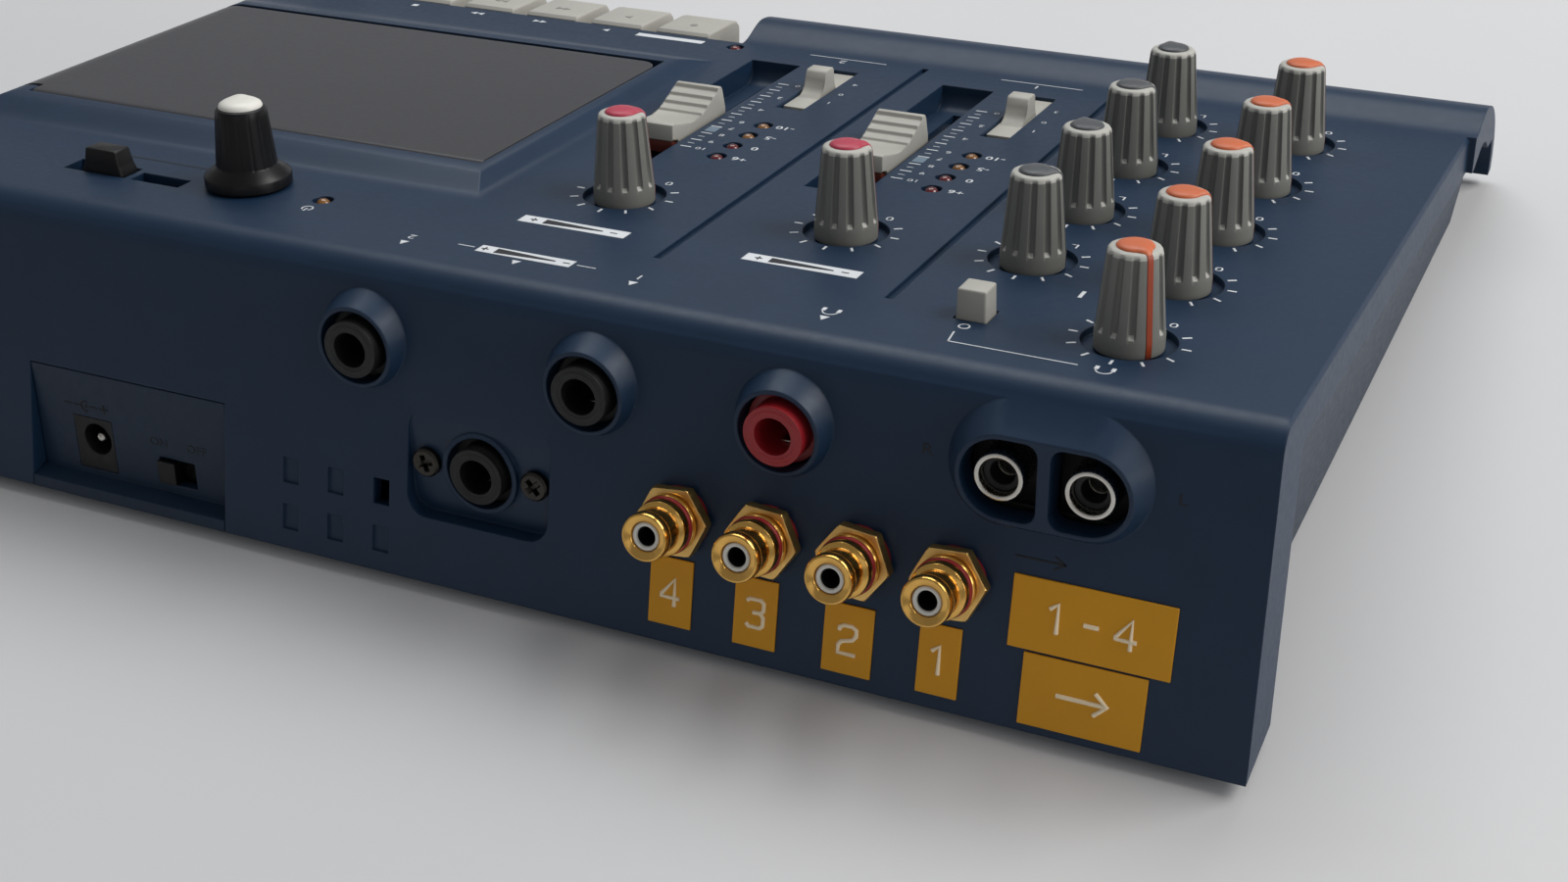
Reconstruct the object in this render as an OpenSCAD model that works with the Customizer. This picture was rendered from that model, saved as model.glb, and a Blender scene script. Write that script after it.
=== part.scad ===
// Four track cassette recorder: a wedge-shaped desktop mixer with a cassette deck beside it.
// +X is the user's right, +Y the rear, +Z up. The origin is on the table, under the middle.
// Most pieces are placed in the frame of the sloping panel: x across, v toward the rear from
// the row of the phones knob, n up from the panel's face.

/* [Body] */
// Width of the body
body_w = 290; // [290:1:296]
// Slope of the panel, in degrees
panel_tilt = 12.5; // [11.5:0.5:13]
// Lean of the rear face from the panel's square, in degrees
rear_lean = 10; // [9:0.5:12]
// Height of the rear top edge above the table
rear_h = 54.6; // [54:0.5:58]
// From the phones knob back to the rear top edge
rear_v = 21.8; // [21:0.5:24]
// From the phones knob forward to the front edge of the flat panel
front_l = 124.7; // [124:0.5:130]
// Shell wall
wall = 2.6; // [2.2:0.1:2.8]
// Rounding of the rear top edge
rear_r = 6; // [4:0.5:8]
// How far the panel's left edge is set in, where the side leans
side_inset = 1.4; // [0.8:0.1:1.6]
// Depth of the top shell's side band
band_h = 7.3; // [6:0.1:8]
// Width of the side band along the rear face
band_rear = 13; // [10:0.5:18]
// Bottom face's height above the table, which is the height of the feet
foot_h = 2.5; // [2:0.5:3]
// How far the bottom shell's side is set in under the band
base_inset = 1.3; // [1.3:0.1:1.6]
// Taper of the bottom shell's sides, in degrees
base_taper = 10.6; // [8:0.2:11.4]

/* [Front lip] */
// Rise of the lip over the panel
lip_rise = 3; // [2:0.5:3]
// Length of the ramp up to the lip
ramp_l = 10.3; // [8:0.1:12]
// Length of the lip's rounded nose
nose_l = 17; // [15:0.5:18]
// Drop of the lip's rounded nose
nose_drop = 16; // [15:0.5:16]
// Where the lip ends beside the keys, from the middle of the body
lip_x1 = 17; // [14:0.5:17]
// Where the lip's right cheek starts, from the middle of the body
cheek_x0 = 131.5; // [131.5:0.5:134]

/* [Cassette deck] */
// Rise of the deck's plateau over the panel
plateau_h = 3.1; // [2.5:0.1:3.5]
// Rounding of the right shoulder
shoulder_r = 12; // [10:0.5:13]
// Left edge of the lid
lid_x0 = 21.7; // [21:0.1:23]
// Right edge of the lid
lid_x1 = 138.6; // [136:0.1:138.6]
// From the front edge of the flat panel back to the lid
lid_front = 30.7; // [30.2:0.1:32.7]
// Rear edge of the lid
lid_v1 = -22.7; // [-24:0.1:-22]
// Thickness of the lid
lid_t = 2; // [1.8:0.1:2.2]
// Gap round the lid
lid_gap = 0.4; // [0.3:0.05:0.5]
// Finger gap before the lid
finger_gap = 1.6; // [1:0.1:2]
// Width of the plateau's side slope
slope_side = 6.4; // [5:0.2:8]
// Width of the plateau's rear slope
slope_rear = 11.5; // [9:0.5:13]
// Width of the plateau's front slope
slope_front = 16.5; // [14:0.5:18]
// Depth of the cassette well under the panel
well_d = 12; // [12:0.2:12.4]
// Distance between the two reel spindles
hub_pitch = 42.5; // [42:0.5:43]
// From the lid's front edge back to the reel spindles
hub_back = 40; // [38:0.5:41]
// How far the heads move when play is pressed
head_travel = 3.4; // [3:0.1:3.4]
// Radius of the flywheel
flywheel_r = 17; // [15:0.5:17]
// Radius of the motor
motor_r = 14; // [12:0.5:14]
// Radius of the motor pulley
pulley_r = 4.5; // [4:0.1:5]

/* [Keys] */
// Left edge of the first key
key_x0 = 26.4; // [26:0.1:28]
// Distance from key to key
key_pitch = 17.4; // [17:0.1:17.6]
// Width of a key
key_w = 13.6; // [13:0.1:14]
// Length of a key's top
key_l = 16.1; // [15:0.1:16.5]
// Height of a key's cap
key_h = 9; // [8:0.5:9]
// Press of a key, in degrees
key_press = 7; // [5:0.5:7]
// Radius of the key shaft
key_shaft_r = 1.5; // [1.3:0.1:1.8]

/* [Mixer] */
// Column of the level knobs, from the body's left side
level_col = 32; // [30:0.5:34]
// From the level column to the pan column
pan_step = 25.7; // [25:0.1:27]
// From the phones knob forward to the first track's knobs
track_v = 26.7; // [26:0.1:27]
// Distance from track to track
track_pitch = 26.8; // [26:0.1:27]
// Column of the first groove
groove_x = -71.7; // [-73:0.1:-71]
// Distance from groove to groove
groove_pitch = 43.5; // [43:0.1:45]
// Width of a groove
groove_w = 1.5; // [1:0.1:2]
// Depth of a groove
groove_d = 0.9; // [0.5:0.1:1.2]
// Column of the first input channel's trim knob
trim_x = -52.6; // [-53:0.1:-52]
// Distance from channel to channel
channel_pitch = 45; // [44.5:0.1:45.5]
// Row of the trim knobs
trim_v = -25.8; // [-27:0.1:-25]
// From a trim knob to its fader
fader_dx = 11; // [10.5:0.1:11.5]
// Width of a fader trough
trough_w = 11.6; // [11.2:0.1:12]
// Depth of a fader trough
trough_d = 5; // [4:0.1:5.4]
// Travel of a fader
fader_travel = 45; // [44:0.5:46]
// Position of a fader at its lowest level
fader_v0 = -100.2; // [-101:0.1:-100]
// Length of a fader cap
cap_l = 23.2; // [22:0.2:24]
// Width of a fader cap
cap_w = 9.9; // [9:0.1:10.4]
// Height of a fader cap
cap_h = 5.8; // [5:0.1:7]
// From a trim knob to its record switch and lamps
lamp_dx = -5.5; // [-6:0.1:-5]
// Row of the rearmost level lamp
lamp_v = -52.6; // [-53:0.1:-52]
// Distance from lamp to lamp
lamp_pitch = 6.95; // [6.5:0.05:7.2]
// Radius of a lamp
lamp_r = 1.5; // [1.3:0.1:1.6]
// Length of a record switch's slot
rec_slot_l = 29; // [28:0.5:30]
// Width of a record switch's slot
rec_slot_w = 6; // [5.5:0.1:6.5]
// Middle of a record switch's slot
rec_slot_v = -99.8; // [-100.5:0.1:-99]
// Travel of a record switch
rec_travel = 3; // [2:0.5:3]
// Side of the square mono button
mono_w = 5.4; // [5:0.1:6]
// Height of the mono button over the panel
mono_h = 5.2; // [4:0.1:6]
// Press of the mono button
mono_travel = 2; // [1:0.1:2.5]

/* [Knobs] */
// Radius of a knob's base
knob_r = 5.7; // [5.4:0.1:6]
// Radius of a knob's top
knob_top_r = 4.4; // [4.2:0.1:4.6]
// Height of a knob over the panel
knob_h = 16; // [14:0.5:17]
// Radius of the dish under a knob
dish_r = 7.8; // [7:0.1:8.4]
// Depth of the dish under a knob
dish_d = 1.4; // [0.4:0.1:1.6]
// Radius of a knob's shaft
shaft_r = 3; // [2.7:0.1:3]
// Number of flutes round a knob
flutes = 12; // [8:1:16]
// Radius of the pitch knob's skirt
skirt_r = 8.1; // [7.5:0.1:8.5]
// Column of the pitch knob
pitch_x = 59.5; // [59:0.1:60]
// Half the turn of a knob, in degrees
knob_turn = 150; // [130:5:150]

/* [Rear] */
// Height of the jack line under the panel's face
jack_n = -14.4; // [-15:0.1:-14]
// Column of the second microphone jack
mic2_x = 17.2; // [16.8:0.1:17.6]
// Column of the first microphone jack
mic1_x = -28.4; // [-29:0.1:-28]
// Column of the phones jack
phones_jack_x = -64; // [-64.5:0.1:-63.5]
// Column of the guitar jack
guitar_x = -6.9; // [-7.4:0.1:-6.5]
// Height of the guitar jack under the panel's face
guitar_n = -34; // [-34.4:0.1:-33.6]
// Middle column of the line outputs
line_x = -108.9; // [-109.5:0.1:-108]
// Distance between the line outputs
line_pitch = 14.7; // [14:0.1:15]
// Front plane of the jack bosses
boss_v = 27.3; // [27.1:0.1:27.8]
// Inner radius of a jack boss
boss_r = 6.8; // [6.6:0.1:7.2]
// Rim of a jack boss
boss_rim = 0.7; // [0.5:0.1:1]
// Flare of a round jack boss toward its root
boss_flare = 1.3; // [1:0.1:2.6]
// Flare of the line outputs' boss toward its root
line_flare = 2.2; // [1.5:0.1:2.6]
// Bore radius of a quarter-inch jack
jack_bore_r = 3.25; // [3.2:0.05:3.3]
// Outer radius of a quarter-inch jack's nose
jack_nose_r = 5.2; // [5:0.1:5.6]
// Depth of a quarter-inch jack's bore
jack_bore_l = 16; // [14:0.5:17]
// Column of the first gold output
tape_x = -95.2; // [-96:0.1:-95]
// Distance between the gold outputs
tape_pitch = 16.3; // [16:0.1:16.6]
// Distance of the gold outputs down the rear face
tape_w = 33.8; // [33:0.1:34.4]
// Outer radius of a phono jack's ring
phono_r = 4.15; // [4:0.05:4.3]
// Bore radius of a phono jack
phono_bore_r = 1.65; // [1.6:0.05:1.7]
// How far a gold output stands out of the rear face
phono_l = 12.4; // [11:0.2:13]
// Left edge of the power plate
plate_x0 = 47.5; // [46:0.5:48]
// Right edge of the power plate
plate_x1 = 93; // [92:0.5:95]
// Face of the power plate
plate_v = 27.3; // [27:0.1:27.6]
// Top of the power plate, under the panel's face
plate_n = -31.2; // [-32:0.2:-31]
// Column of the DC jack
dc_x = 79.8; // [79:0.1:80.5]
// Column of the power switch
power_x = 60.4; // [60:0.1:61]
// Width of the embossed tape
tape_label_h = 12.1; // [11:0.1:12.3]

/* [Hidden] */
$fn = 48;
eps = 0.01;
lap = 0.4;          // how far two joined walls reach into each other
gap = 0.2;          // clearance between pieces that only lie beside each other
run = 0.05;         // radial clearance of a running fit
base_t = 2;         // wall of the bottom shell
board_t = 1.6;      // circuit board
board_n = -14.5;    // upper face of the main board
jack_board_n = -21; // upper face of the jack board

// Colours, as the object shows them
shell_blue = [0.13, 0.19, 0.29];
lid_grey = [0.20, 0.20, 0.21];
key_grey = [0.66, 0.65, 0.61];
knob_grey = [0.42, 0.42, 0.40];
dark = [0.06, 0.06, 0.07];
steel = [0.62, 0.62, 0.63];
gold = [0.80, 0.58, 0.25];
board_green = [0.12, 0.32, 0.20];

// ---- Frames -------------------------------------------------------------------------------

left_x = -body_w / 2;
right_x = body_w / 2;
lip_v = -front_l - ramp_l;
nose_end = 190;                 // angle at which the lip's nose ends
origin_z = rear_h - rear_v * sin(panel_tilt);

// Height over the panel of the horizontal plane z above the table, at v
function plane_n(v, z) = (z - origin_z - v * sin(panel_tilt)) / cos(panel_tilt);
// Y of a panel point before the origin is centred
function raw_y(v, n) = v * cos(panel_tilt) - n * sin(panel_tilt);

nose_y = raw_y(lip_v, lip_rise - nose_drop)
    - sqrt(pow(nose_l * cos(panel_tilt), 2) + pow(nose_drop * sin(panel_tilt), 2));
face_slope = panel_tilt + rear_lean;
rear_l = (rear_h - foot_h) / cos(face_slope) + 3;   // length of the rear face, with some to trim
tip_y = raw_y(rear_v, 0) + tape_w * sin(face_slope) + phono_l * cos(face_slope)
    + phono_r * sin(face_slope);
origin_y = -(nose_y + tip_y) / 2;

module panel() { translate([0, origin_y, origin_z]) rotate([panel_tilt, 0, 0]) children(); }

// A place on the rear face, within the panel's frame: x across, w down the face from its top
// edge. Seen from behind, its x runs toward the body's left, its y up and its z outward.
module rear_at(x, w) {
    translate([0, rear_v, 0]) rotate([90 - rear_lean, 0, 180]) translate([-x, -w, 0]) children();
}

module along_x(x0, x1) { translate([x0, 0, 0]) rotate([90, 0, 90]) linear_extrude(x1 - x0) children(); }
module along_v(v0, v1) { translate([0, v1, 0]) rotate([90, 0, 0]) linear_extrude(v1 - v0) children(); }
module along_n(n0, n1) { translate([0, 0, n0]) linear_extrude(n1 - n0) children(); }
function about(c, h) = [c - h, c + h];
module box(x, v, n) { translate([x[0], v[0], n[0]]) cube([x[1] - x[0], v[1] - v[0], n[1] - n[0]]); }
module rod_x(x0, x1, r) { translate([x0, 0, 0]) rotate([0, 90, 0]) cylinder(h = x1 - x0, r = r); }
module rod_v(v0, v1, r) { translate([0, v1, 0]) rotate([90, 0, 0]) cylinder(h = v1 - v0, r = r); }
module rod_n(n0, n1, r) { translate([0, 0, n0]) cylinder(h = n1 - n0, r = r); }

function arc(c, r, a0, a1, steps) =
    [for (i = [0:steps]) let (a = a0 + (a1 - a0) * i / steps) [c[0] + r * cos(a), c[1] + r * sin(a)]];
function smooth(s) = (1 - cos(180 * s)) / 2;
function round_rect(x, y, r) = concat(
    arc([x[1] - r, y[1] - r], r, 0, 90, 6), arc([x[0] + r, y[1] - r], r, 90, 180, 6),
    arc([x[0] + r, y[0] + r], r, 180, 270, 6), arc([x[1] - r, y[0] + r], r, 270, 360, 6));

// ---- Body outline -------------------------------------------------------------------------

turn_half = (90 - rear_lean) / 2;

// Lip nose, set in by t
function nose(t) = [for (i = [0:24]) let (a = nose_end - (nose_end - 90) * i / 24)
    [lip_v + (nose_l - t) * cos(a), lip_rise - nose_drop + (nose_drop - t) * sin(a)]];
// Ramp from the lip down to the flat panel, set in by t
function ramp(t) = [for (i = [1:8]) [lip_v + ramp_l * i / 8, lip_rise * (1 - smooth(i / 8)) - t]];
// Rear top edge, with the panel set in by t and the rear face by tr
function rear_edge(t, tr, r) = let (v = rear_v + (t * sin(rear_lean) - tr) / cos(rear_lean))
    arc([v - r * tan(turn_half), -t - r], r, 90, rear_lean, 8);
function rear_foot(tr) = [rear_v + rear_l * sin(rear_lean) - tr * cos(rear_lean),
    -rear_l * cos(rear_lean) - tr * sin(rear_lean)];
// The rear face carried on downward, past its lower edge
function rear_beyond(tr, k) = rear_foot(tr) + k * [sin(rear_lean), -cos(rear_lean)];
// v of the plane tr inside the rear face, at height n
function rear_line(tr, n) = rear_v - n * tan(rear_lean) - tr / cos(rear_lean);
// Whole side outline with the lip, and the same without it
function outline(t, tr, r) = concat(nose(t), ramp(t), rear_edge(t, tr, r));
deep = -90;     // below everything
side_low = -53; // depth at which the leaning left side reaches the full width

module outer_outline() { polygon(concat(outline(0, 0, rear_r), [rear_foot(0)])); }
module hollow_outline(t, tr, r) {
    polygon(concat([[nose(t)[0][0], deep]], outline(t, tr, r), [rear_beyond(tr, 30)]));
}
// The flat panel alone, with its front end at v0
module deck_outline(t, tr, r, v0, n0) {
    polygon(concat([[v0, n0], [v0, -t]], rear_edge(t, tr, r), [rear_beyond(tr, n0 < -60 ? 30 : 0)]));
}

// Strip between two planes inside the rear face, below n0
module rear_strip(t0, t1, n0) {
    polygon([[rear_line(t1, n0), n0], [rear_line(t0, n0), n0], [rear_line(t0, deep), deep],
        [rear_line(t1, deep), deep]]);
}
// Everything above the horizontal plane z over the table, as a side outline, and all below it
module above_outline(z) { polygon([[-200, plane_n(-200, z)], [80, plane_n(80, z)], [80, 60], [-200, 60]]); }
module below(z) {
    along_x(-200, 200) polygon([[-200, plane_n(-200, z)], [80, plane_n(80, z)], [80, -200], [-200, -200]]);
}

// Cross-section of the body with its right shoulder, set in by t
module cross_section(t) {
    c = [right_x - shoulder_r, plateau_h - shoulder_r];
    left = t > 0 ? left_x + t + side_inset : left_x;
    polygon(concat([[left, deep], [left, 30], [c[0], 30]],
        arc(c, shoulder_r - t, 90, 0, 18), [[right_x - t, deep]]));
}

// What the leaning left side leaves off beside the panel, with the edge's chamfer
module side_wedge() {
    along_v(-front_l, 80) polygon([[left_x - 5, side_low], [left_x, side_low],
        [left_x + side_inset, -0.7], [left_x + side_inset + 0.6, 0], [left_x + side_inset + 0.6, 30],
        [left_x - 5, 30]]);
}

// Raised plateau round the lid
module plateau() {
    steps = 10;
    x_foot = lid_x0 - slope_side;
    v_rear = lid_v1 + slope_rear;
    v_front = lid_v0 - finger_gap - slope_front;
    intersection() {
        along_x(x_foot - 1, right_x) polygon(concat([[v_front, -1]],
            [for (i = [0:steps]) [v_front + slope_front * i / steps, plateau_h * smooth(i / steps)]],
            [for (i = [steps:-1:0]) [v_rear - (slope_rear - 0.5) * i / steps, plateau_h * smooth(i / steps)]],
            [[v_rear, -1]]));
        along_v(v_front - 1, v_rear + 1) polygon(concat([[x_foot, -1]],
            [for (i = [0:steps]) [x_foot + (slope_side - 0.6) * i / steps, plateau_h * smooth(i / steps)]],
            [[right_x, plateau_h], [right_x, -1]]));
    }
}

// ---- Places on the panel ------------------------------------------------------------------

level_x = left_x + level_col;
pan_x = level_x + pan_step;
function track_at(k) = -track_v - (k - 1) * track_pitch;
function trim_at(k) = trim_x + (k - 1) * channel_pitch;
function fader_x(k) = trim_at(k) + fader_dx;
cap_front = 13;                            // from a fader's pointer forward to the cap's end
fader_level = 0.75;                        // where the faders stand
trough_v0 = fader_v0 - cap_front - 0.8;
trough_end = 3.6;                          // radius of the trough's front end
trough_v1 = fader_v0 + fader_travel + cap_l - cap_front + 1;
function lamp_x(k) = trim_at(k) + lamp_dx;
power_lamp = [41.7, 0];
record_lamp = [17.1, 3.5 - front_l];
mono_at = [pan_x, 0.3];
pitch_v = -1.3;
pots = concat([for (k = [1:4]) [level_x, track_at(k)]], [for (k = [1:4]) [pan_x, track_at(k)]],
    [[level_x, 0], [trim_at(1), trim_v], [trim_at(2), trim_v]]);
lamps = concat([for (k = [1:2]) for (i = [0:3]) [lamp_x(k), lamp_v - i * lamp_pitch]],
    [power_lamp, record_lamp]);
lamp_hole_r = lamp_r + 0.5;
counter_x = [70.6, 82.1];
counter_v = [1.8, 5.9];
reset_x = [83.5, 98.3];
reset_v = [0.3, 5.8];
lid_v0 = lid_front - front_l;
hub_v = lid_v0 + hub_back;
well_x = [lid_x0 - lid_gap, lid_x1 + lid_gap];
well_v = [lid_v0 - finger_gap, lid_v1 + lid_gap];
well_wall = 1.6;
hinge_r = 1.6;
hinge_at = [lid_v1 - hinge_r, plateau_h - hinge_r];
hinge_pin_r = 0.9;
hinge_pin_l = 1.5;
hinge_x1 = right_x - shoulder_r - 1.1;   // right end of the lid's hinge barrel
lug_v = hinge_at[0] - 1.4;               // front of the shell's lug beside the barrel
deck_mid = (lid_x0 + lid_x1) / 2;
key_axis = [-front_l + 12.7, -8];
key_rear = -front_l - 1.5;
key_bracket_x = [[20, 22], [75.8, 77.6], [130, 132]];
// Case screws: x, v of each
screw_at = [[left_x + 17, 12.7 - front_l], [left_x + 70, 10.7 - front_l], [12, 10.7 - front_l],
    [left_x + 17, rear_v - 15.8], [30, rear_v - 11.8], [right_x - 15.5, rear_v - 15.8],
    [right_x - 15.5, 20.7 - front_l]];
screw_r = 1.5;

// ---- Top shell ----------------------------------------------------------------------------

boss_l = 9;                                    // from a boss's front back into the rear wall
line_foot_r = boss_r + boss_rim + line_flare * 3;
line_half = line_pitch / 2 * 0.93;
module boss_cone(flare) {
    translate([0, boss_v, 0]) rotate([90, 0, 0])
        cylinder(h = boss_l, r1 = boss_r + boss_rim, r2 = boss_r + boss_rim + flare * 3);
}
// Flared bosses of the microphone and phones jacks, and the long one of the line outputs
module boss_row() {
    for (x = [mic2_x, mic1_x, phones_jack_x]) translate([x, 0, jack_n]) boss_cone(boss_flare);
    for (s = [-1, 1]) translate([line_x + s * line_half, 0, jack_n]) boss_cone(line_flare);
    along_x(line_x - line_half, line_x + line_half) polygon([[boss_v, jack_n + boss_r + boss_rim],
        [boss_v, jack_n - boss_r - boss_rim], [boss_v - boss_l, jack_n - line_foot_r],
        [boss_v - boss_l, jack_n + line_foot_r]]);
}
// Two openings, straight beside the bar between them
line_bar = 2;
line_corner = 2.2;
module line_opening() {
    near = line_bar / 2 + line_corner;
    for (s = [-1, 1]) translate([line_x, 0, jack_n]) mirror([s < 0 ? 1 : 0, 0, 0]) along_v(10, 60)
        polygon(concat(arc([line_half, 0], boss_r, -90, 90, 18),
            arc([near, boss_r - line_corner], line_corner, 90, 180, 6),
            arc([near, line_corner - boss_r], line_corner, 180, 270, 6)));
}
guitar_pocket_x = [guitar_x - 14.4, guitar_x + 14.4];
guitar_pocket_n = [guitar_n - 9.6, guitar_n + 10];
guitar_v = 26.2;
guitar_screw_dx = 11;
guitar_collar_r = 7.5;

// Six small slots beside the microphone jack: one is open, the others are blind
slot_x = 34.2;
slot_pitch = [9.8, 8.9];
slot_w = 39;
module rear_slots() {
    for (c = [0:2]) for (r = [0:1]) let (open = c == 2 && r == 0)
        rear_at(slot_x - c * slot_pitch[0], slot_w + r * slot_pitch[1])
            translate([0, -4.8, open ? -wall - 1 : -0.5]) cube([3.4, 4.8, wall + 2]);
}
// Places of the four gold outputs on the rear face
module tape_places() { for (k = [0:3]) rear_at(tape_x + k * tape_pitch, tape_w) children(); }

module screw_boss(x, v) {
    foot = screw_seat(v) + 3.2;
    translate([x, v, 0]) rod_n(foot, -wall + eps, 3.4);
}
function screw_seat(v) = plane_n(v, foot_h) + 5.5;

module key_brackets() {
    for (x = key_bracket_x) along_x(x[0], x[1]) difference() {
        translate([key_axis[0] - 3.5, key_axis[1] - 3.5]) square([7, 3.5 - key_axis[1] - wall + eps]);
        translate(key_axis) circle(key_shaft_r + run);
    }
}

module top_shell_solid() {
    difference() {
        intersection() {
            union() {
                along_x(left_x, lip_x1) outer_outline();
                along_x(lip_x1, cheek_x0) deck_outline(0, 0, rear_r, -front_l, -wall);
                along_x(cheek_x0, right_x) outer_outline();
                plateau();
            }
            along_v(-200, 80) cross_section(0);
        }
        // Hollow under the panel and under the lip
        intersection() {
            union() {
                along_x(left_x, right_x) deck_outline(wall, wall, rear_r - wall, -front_l - 1, deep);
                along_x(left_x, lip_x1 - wall) hollow_outline(wall, wall, rear_r - wall);
                along_x(cheek_x0 + wall, right_x) hollow_outline(wall, wall, rear_r - wall);
                along_x(lip_x1 - eps, cheek_x0 + eps) translate([-200, deep]) square([200 - front_l + 5, -deep - wall]);
            }
            along_v(-200, 80) cross_section(wall);
        }
        // Open sides below the band, and behind the lip's nose
        along_x(left_x - 1, right_x + 1) {
            hollow_outline(band_h, band_rear, 2);
            intersection() {
                hollow_outline(wall, wall, rear_r - wall);
                translate([-200, deep]) square([200 + tub_v, -deep - band_h]);
            }
        }
        side_wedge();
    }
    // Walls of the cassette well
    difference() {
        box(well_x + [-well_wall, well_wall], well_v + [-well_wall, well_wall], [-well_d, -wall + eps]);
        box(well_x, well_v, [-well_d - 1, 1]);
    }
    // Fader troughs
    for (k = [1:2]) box([fader_x(k) - trough_w / 2 - 1.4, fader_x(k) + trough_w / 2 + 1.4],
        [trough_v0 - 1.4, trough_v1 + 1.4], [-trough_d - 1.5, -wall + eps]);
    for (p = screw_at) screw_boss(p[0], p[1]);
    key_brackets();
    // Jack bosses and the guitar jack's pocket, kept behind the rear face's plane or their own
    difference() {
        boss_row();
        along_x(left_x, right_x) hollow_outline(wall - eps, wall - eps, rear_r - wall);
    }
    intersection() {
        box(guitar_pocket_x + [-2, 2], [guitar_v - 2.2, 60], guitar_pocket_n + [-2, 2]);
        along_x(left_x, right_x) outer_outline();
    }
    // Cheeks beside the power plate
    for (x = [[plate_x0 - 2.6, plate_x0 - gap], [plate_x1 + gap, plate_x1 + 2.6]]) intersection() {
        box(x, [plate_v - 2.4, 60], [deep, plate_n]);
        along_x(left_x, right_x) intersection() {
            outer_outline();
            above_outline(foot_h + base_t + gap);
        }
    }
}

// Opening of the lid, with the shell's lug left standing at its rear right corner
module lid_opening() {
    difference() {
        box(well_x, well_v, [-well_d - 1, 30]);
        box([hinge_x1 + 0.3, right_x], [lug_v, 0], [-wall, 30]);
    }
}

module top_shell() color(shell_blue) panel() difference() {
    top_shell_solid();
    below(foot_h);
    lid_opening();
    translate([0, hinge_at[0], hinge_at[1]]) {
        rod_x(well_x[0] - hinge_pin_l, well_x[0] + 1, hinge_pin_r + run);
        rod_x(hinge_x1, hinge_x1 + 0.3 + hinge_pin_l + 0.3, hinge_pin_r + run);
    }
    // Control openings
    for (p = pots) translate([p[0], p[1], 0]) {
        rod_n(-wall - 1, 1, shaft_r + 0.4);
        rod_n(-dish_d, 1, dish_r);
    }
    translate([pitch_x, pitch_v, 0]) rod_n(-wall - 1, 1, shaft_r + 0.4);
    for (p = lamps) translate([p[0], p[1], 0]) rod_n(-wall - 1, 1, lamp_hole_r);
    for (k = [0:1]) box([groove_x + k * groove_pitch - groove_w / 2, groove_x + k * groove_pitch + groove_w / 2],
        [1.5 - front_l, 0], [-groove_d, 1]);
    for (k = [1:2]) {
        // The trough's front end rises in a curve
        along_x(fader_x(k) - trough_w / 2, fader_x(k) + trough_w / 2)
            polygon(concat([[trough_v1, 1], [trough_v0, 1]],
                arc([trough_v0 + trough_end, trough_end - trough_d], trough_end, 180, 270, 8),
                [[trough_v1, -trough_d]]));
        box([fader_x(k) - 1.6, fader_x(k) + 1.6], [trough_v0 + 4, trough_v1 - 4], [-trough_d - 2, 1]);
        translate([lamp_x(k), rec_slot_v, 0]) box([-rec_slot_w / 2, rec_slot_w / 2],
            [-rec_slot_l / 2, rec_slot_l / 2], [-wall - 1, 1]);
    }
    translate([mono_at[0], mono_at[1], 0]) box([-mono_w / 2 - 0.25, mono_w / 2 + 0.25],
        [-mono_w / 2 - 0.25, mono_w / 2 + 0.25], [-wall - 1, 1]);
    box(counter_x, counter_v, [-wall - 1, 1]);
    box(reset_x, reset_v, [-wall - 1, 1]);
    // Jack openings through the rear wall and bosses
    for (x = [mic2_x, mic1_x, phones_jack_x]) translate([x, 0, jack_n]) rod_v(10, 60, boss_r);
    line_opening();
    difference() {
        along_v(guitar_v, 60) polygon(round_rect(guitar_pocket_x, guitar_pocket_n, 4));
        translate([guitar_x, 0, guitar_n]) rod_v(guitar_v - 1, guitar_v + 1, guitar_collar_r);
    }
    translate([guitar_x, 0, guitar_n]) rod_v(10, 60, boss_r - 0.2);
    for (s = [-1, 1]) translate([guitar_x + s * guitar_screw_dx, 0, guitar_n]) rod_v(10, 60, 1.25);
    // Gold outputs, power plate and the small slots
    tape_places() translate([0, 0, -10]) cylinder(h = 20, r = phono_r + 0.15);
    box([plate_x0, plate_x1] + [-gap, gap], [plate_v - 20, 60], [-80, plate_n + gap]);
    rear_slots();
    for (p = screw_at) translate([p[0], p[1], 0]) rod_n(screw_seat(p[1]) - 10, -wall - 1.5, 1.25);
}

// ---- Bottom shell -------------------------------------------------------------------------

base_gap = band_h + gap;
shell_x = left_x + wall + side_inset;      // inner face of the top shell's left side
tray_x = [lip_x1 + 0.5, cheek_x0 - 0.5];
tray_v = -front_l - 22.3;
tray_n = -10;
tub_v = 1.7 - front_l;     // where the tub's front wall meets the band's lower edge
tub_lean = 0.55;           // slope of the tub's front wall
pillar_r = 4;

// Half width of the bottom shell at height n, set in by t
function base_x(n, t) = right_x - base_inset - t + (n + band_h) * tan(base_taper);
module base_section(t) {
    polygon([[-base_x(0, t), 0], [base_x(0, t), 0], [base_x(deep, t), deep], [-base_x(deep, t), deep]]);
}
// Everything behind the tub's front wall, set in by t
module tub_front(t) {
    polygon([[tub_v + t - tub_lean * 60, -base_gap - 60], [90, -base_gap - 60], [90, 60 - base_gap],
        [tub_v + t + tub_lean * 60, 60 - base_gap]]);
}
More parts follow.
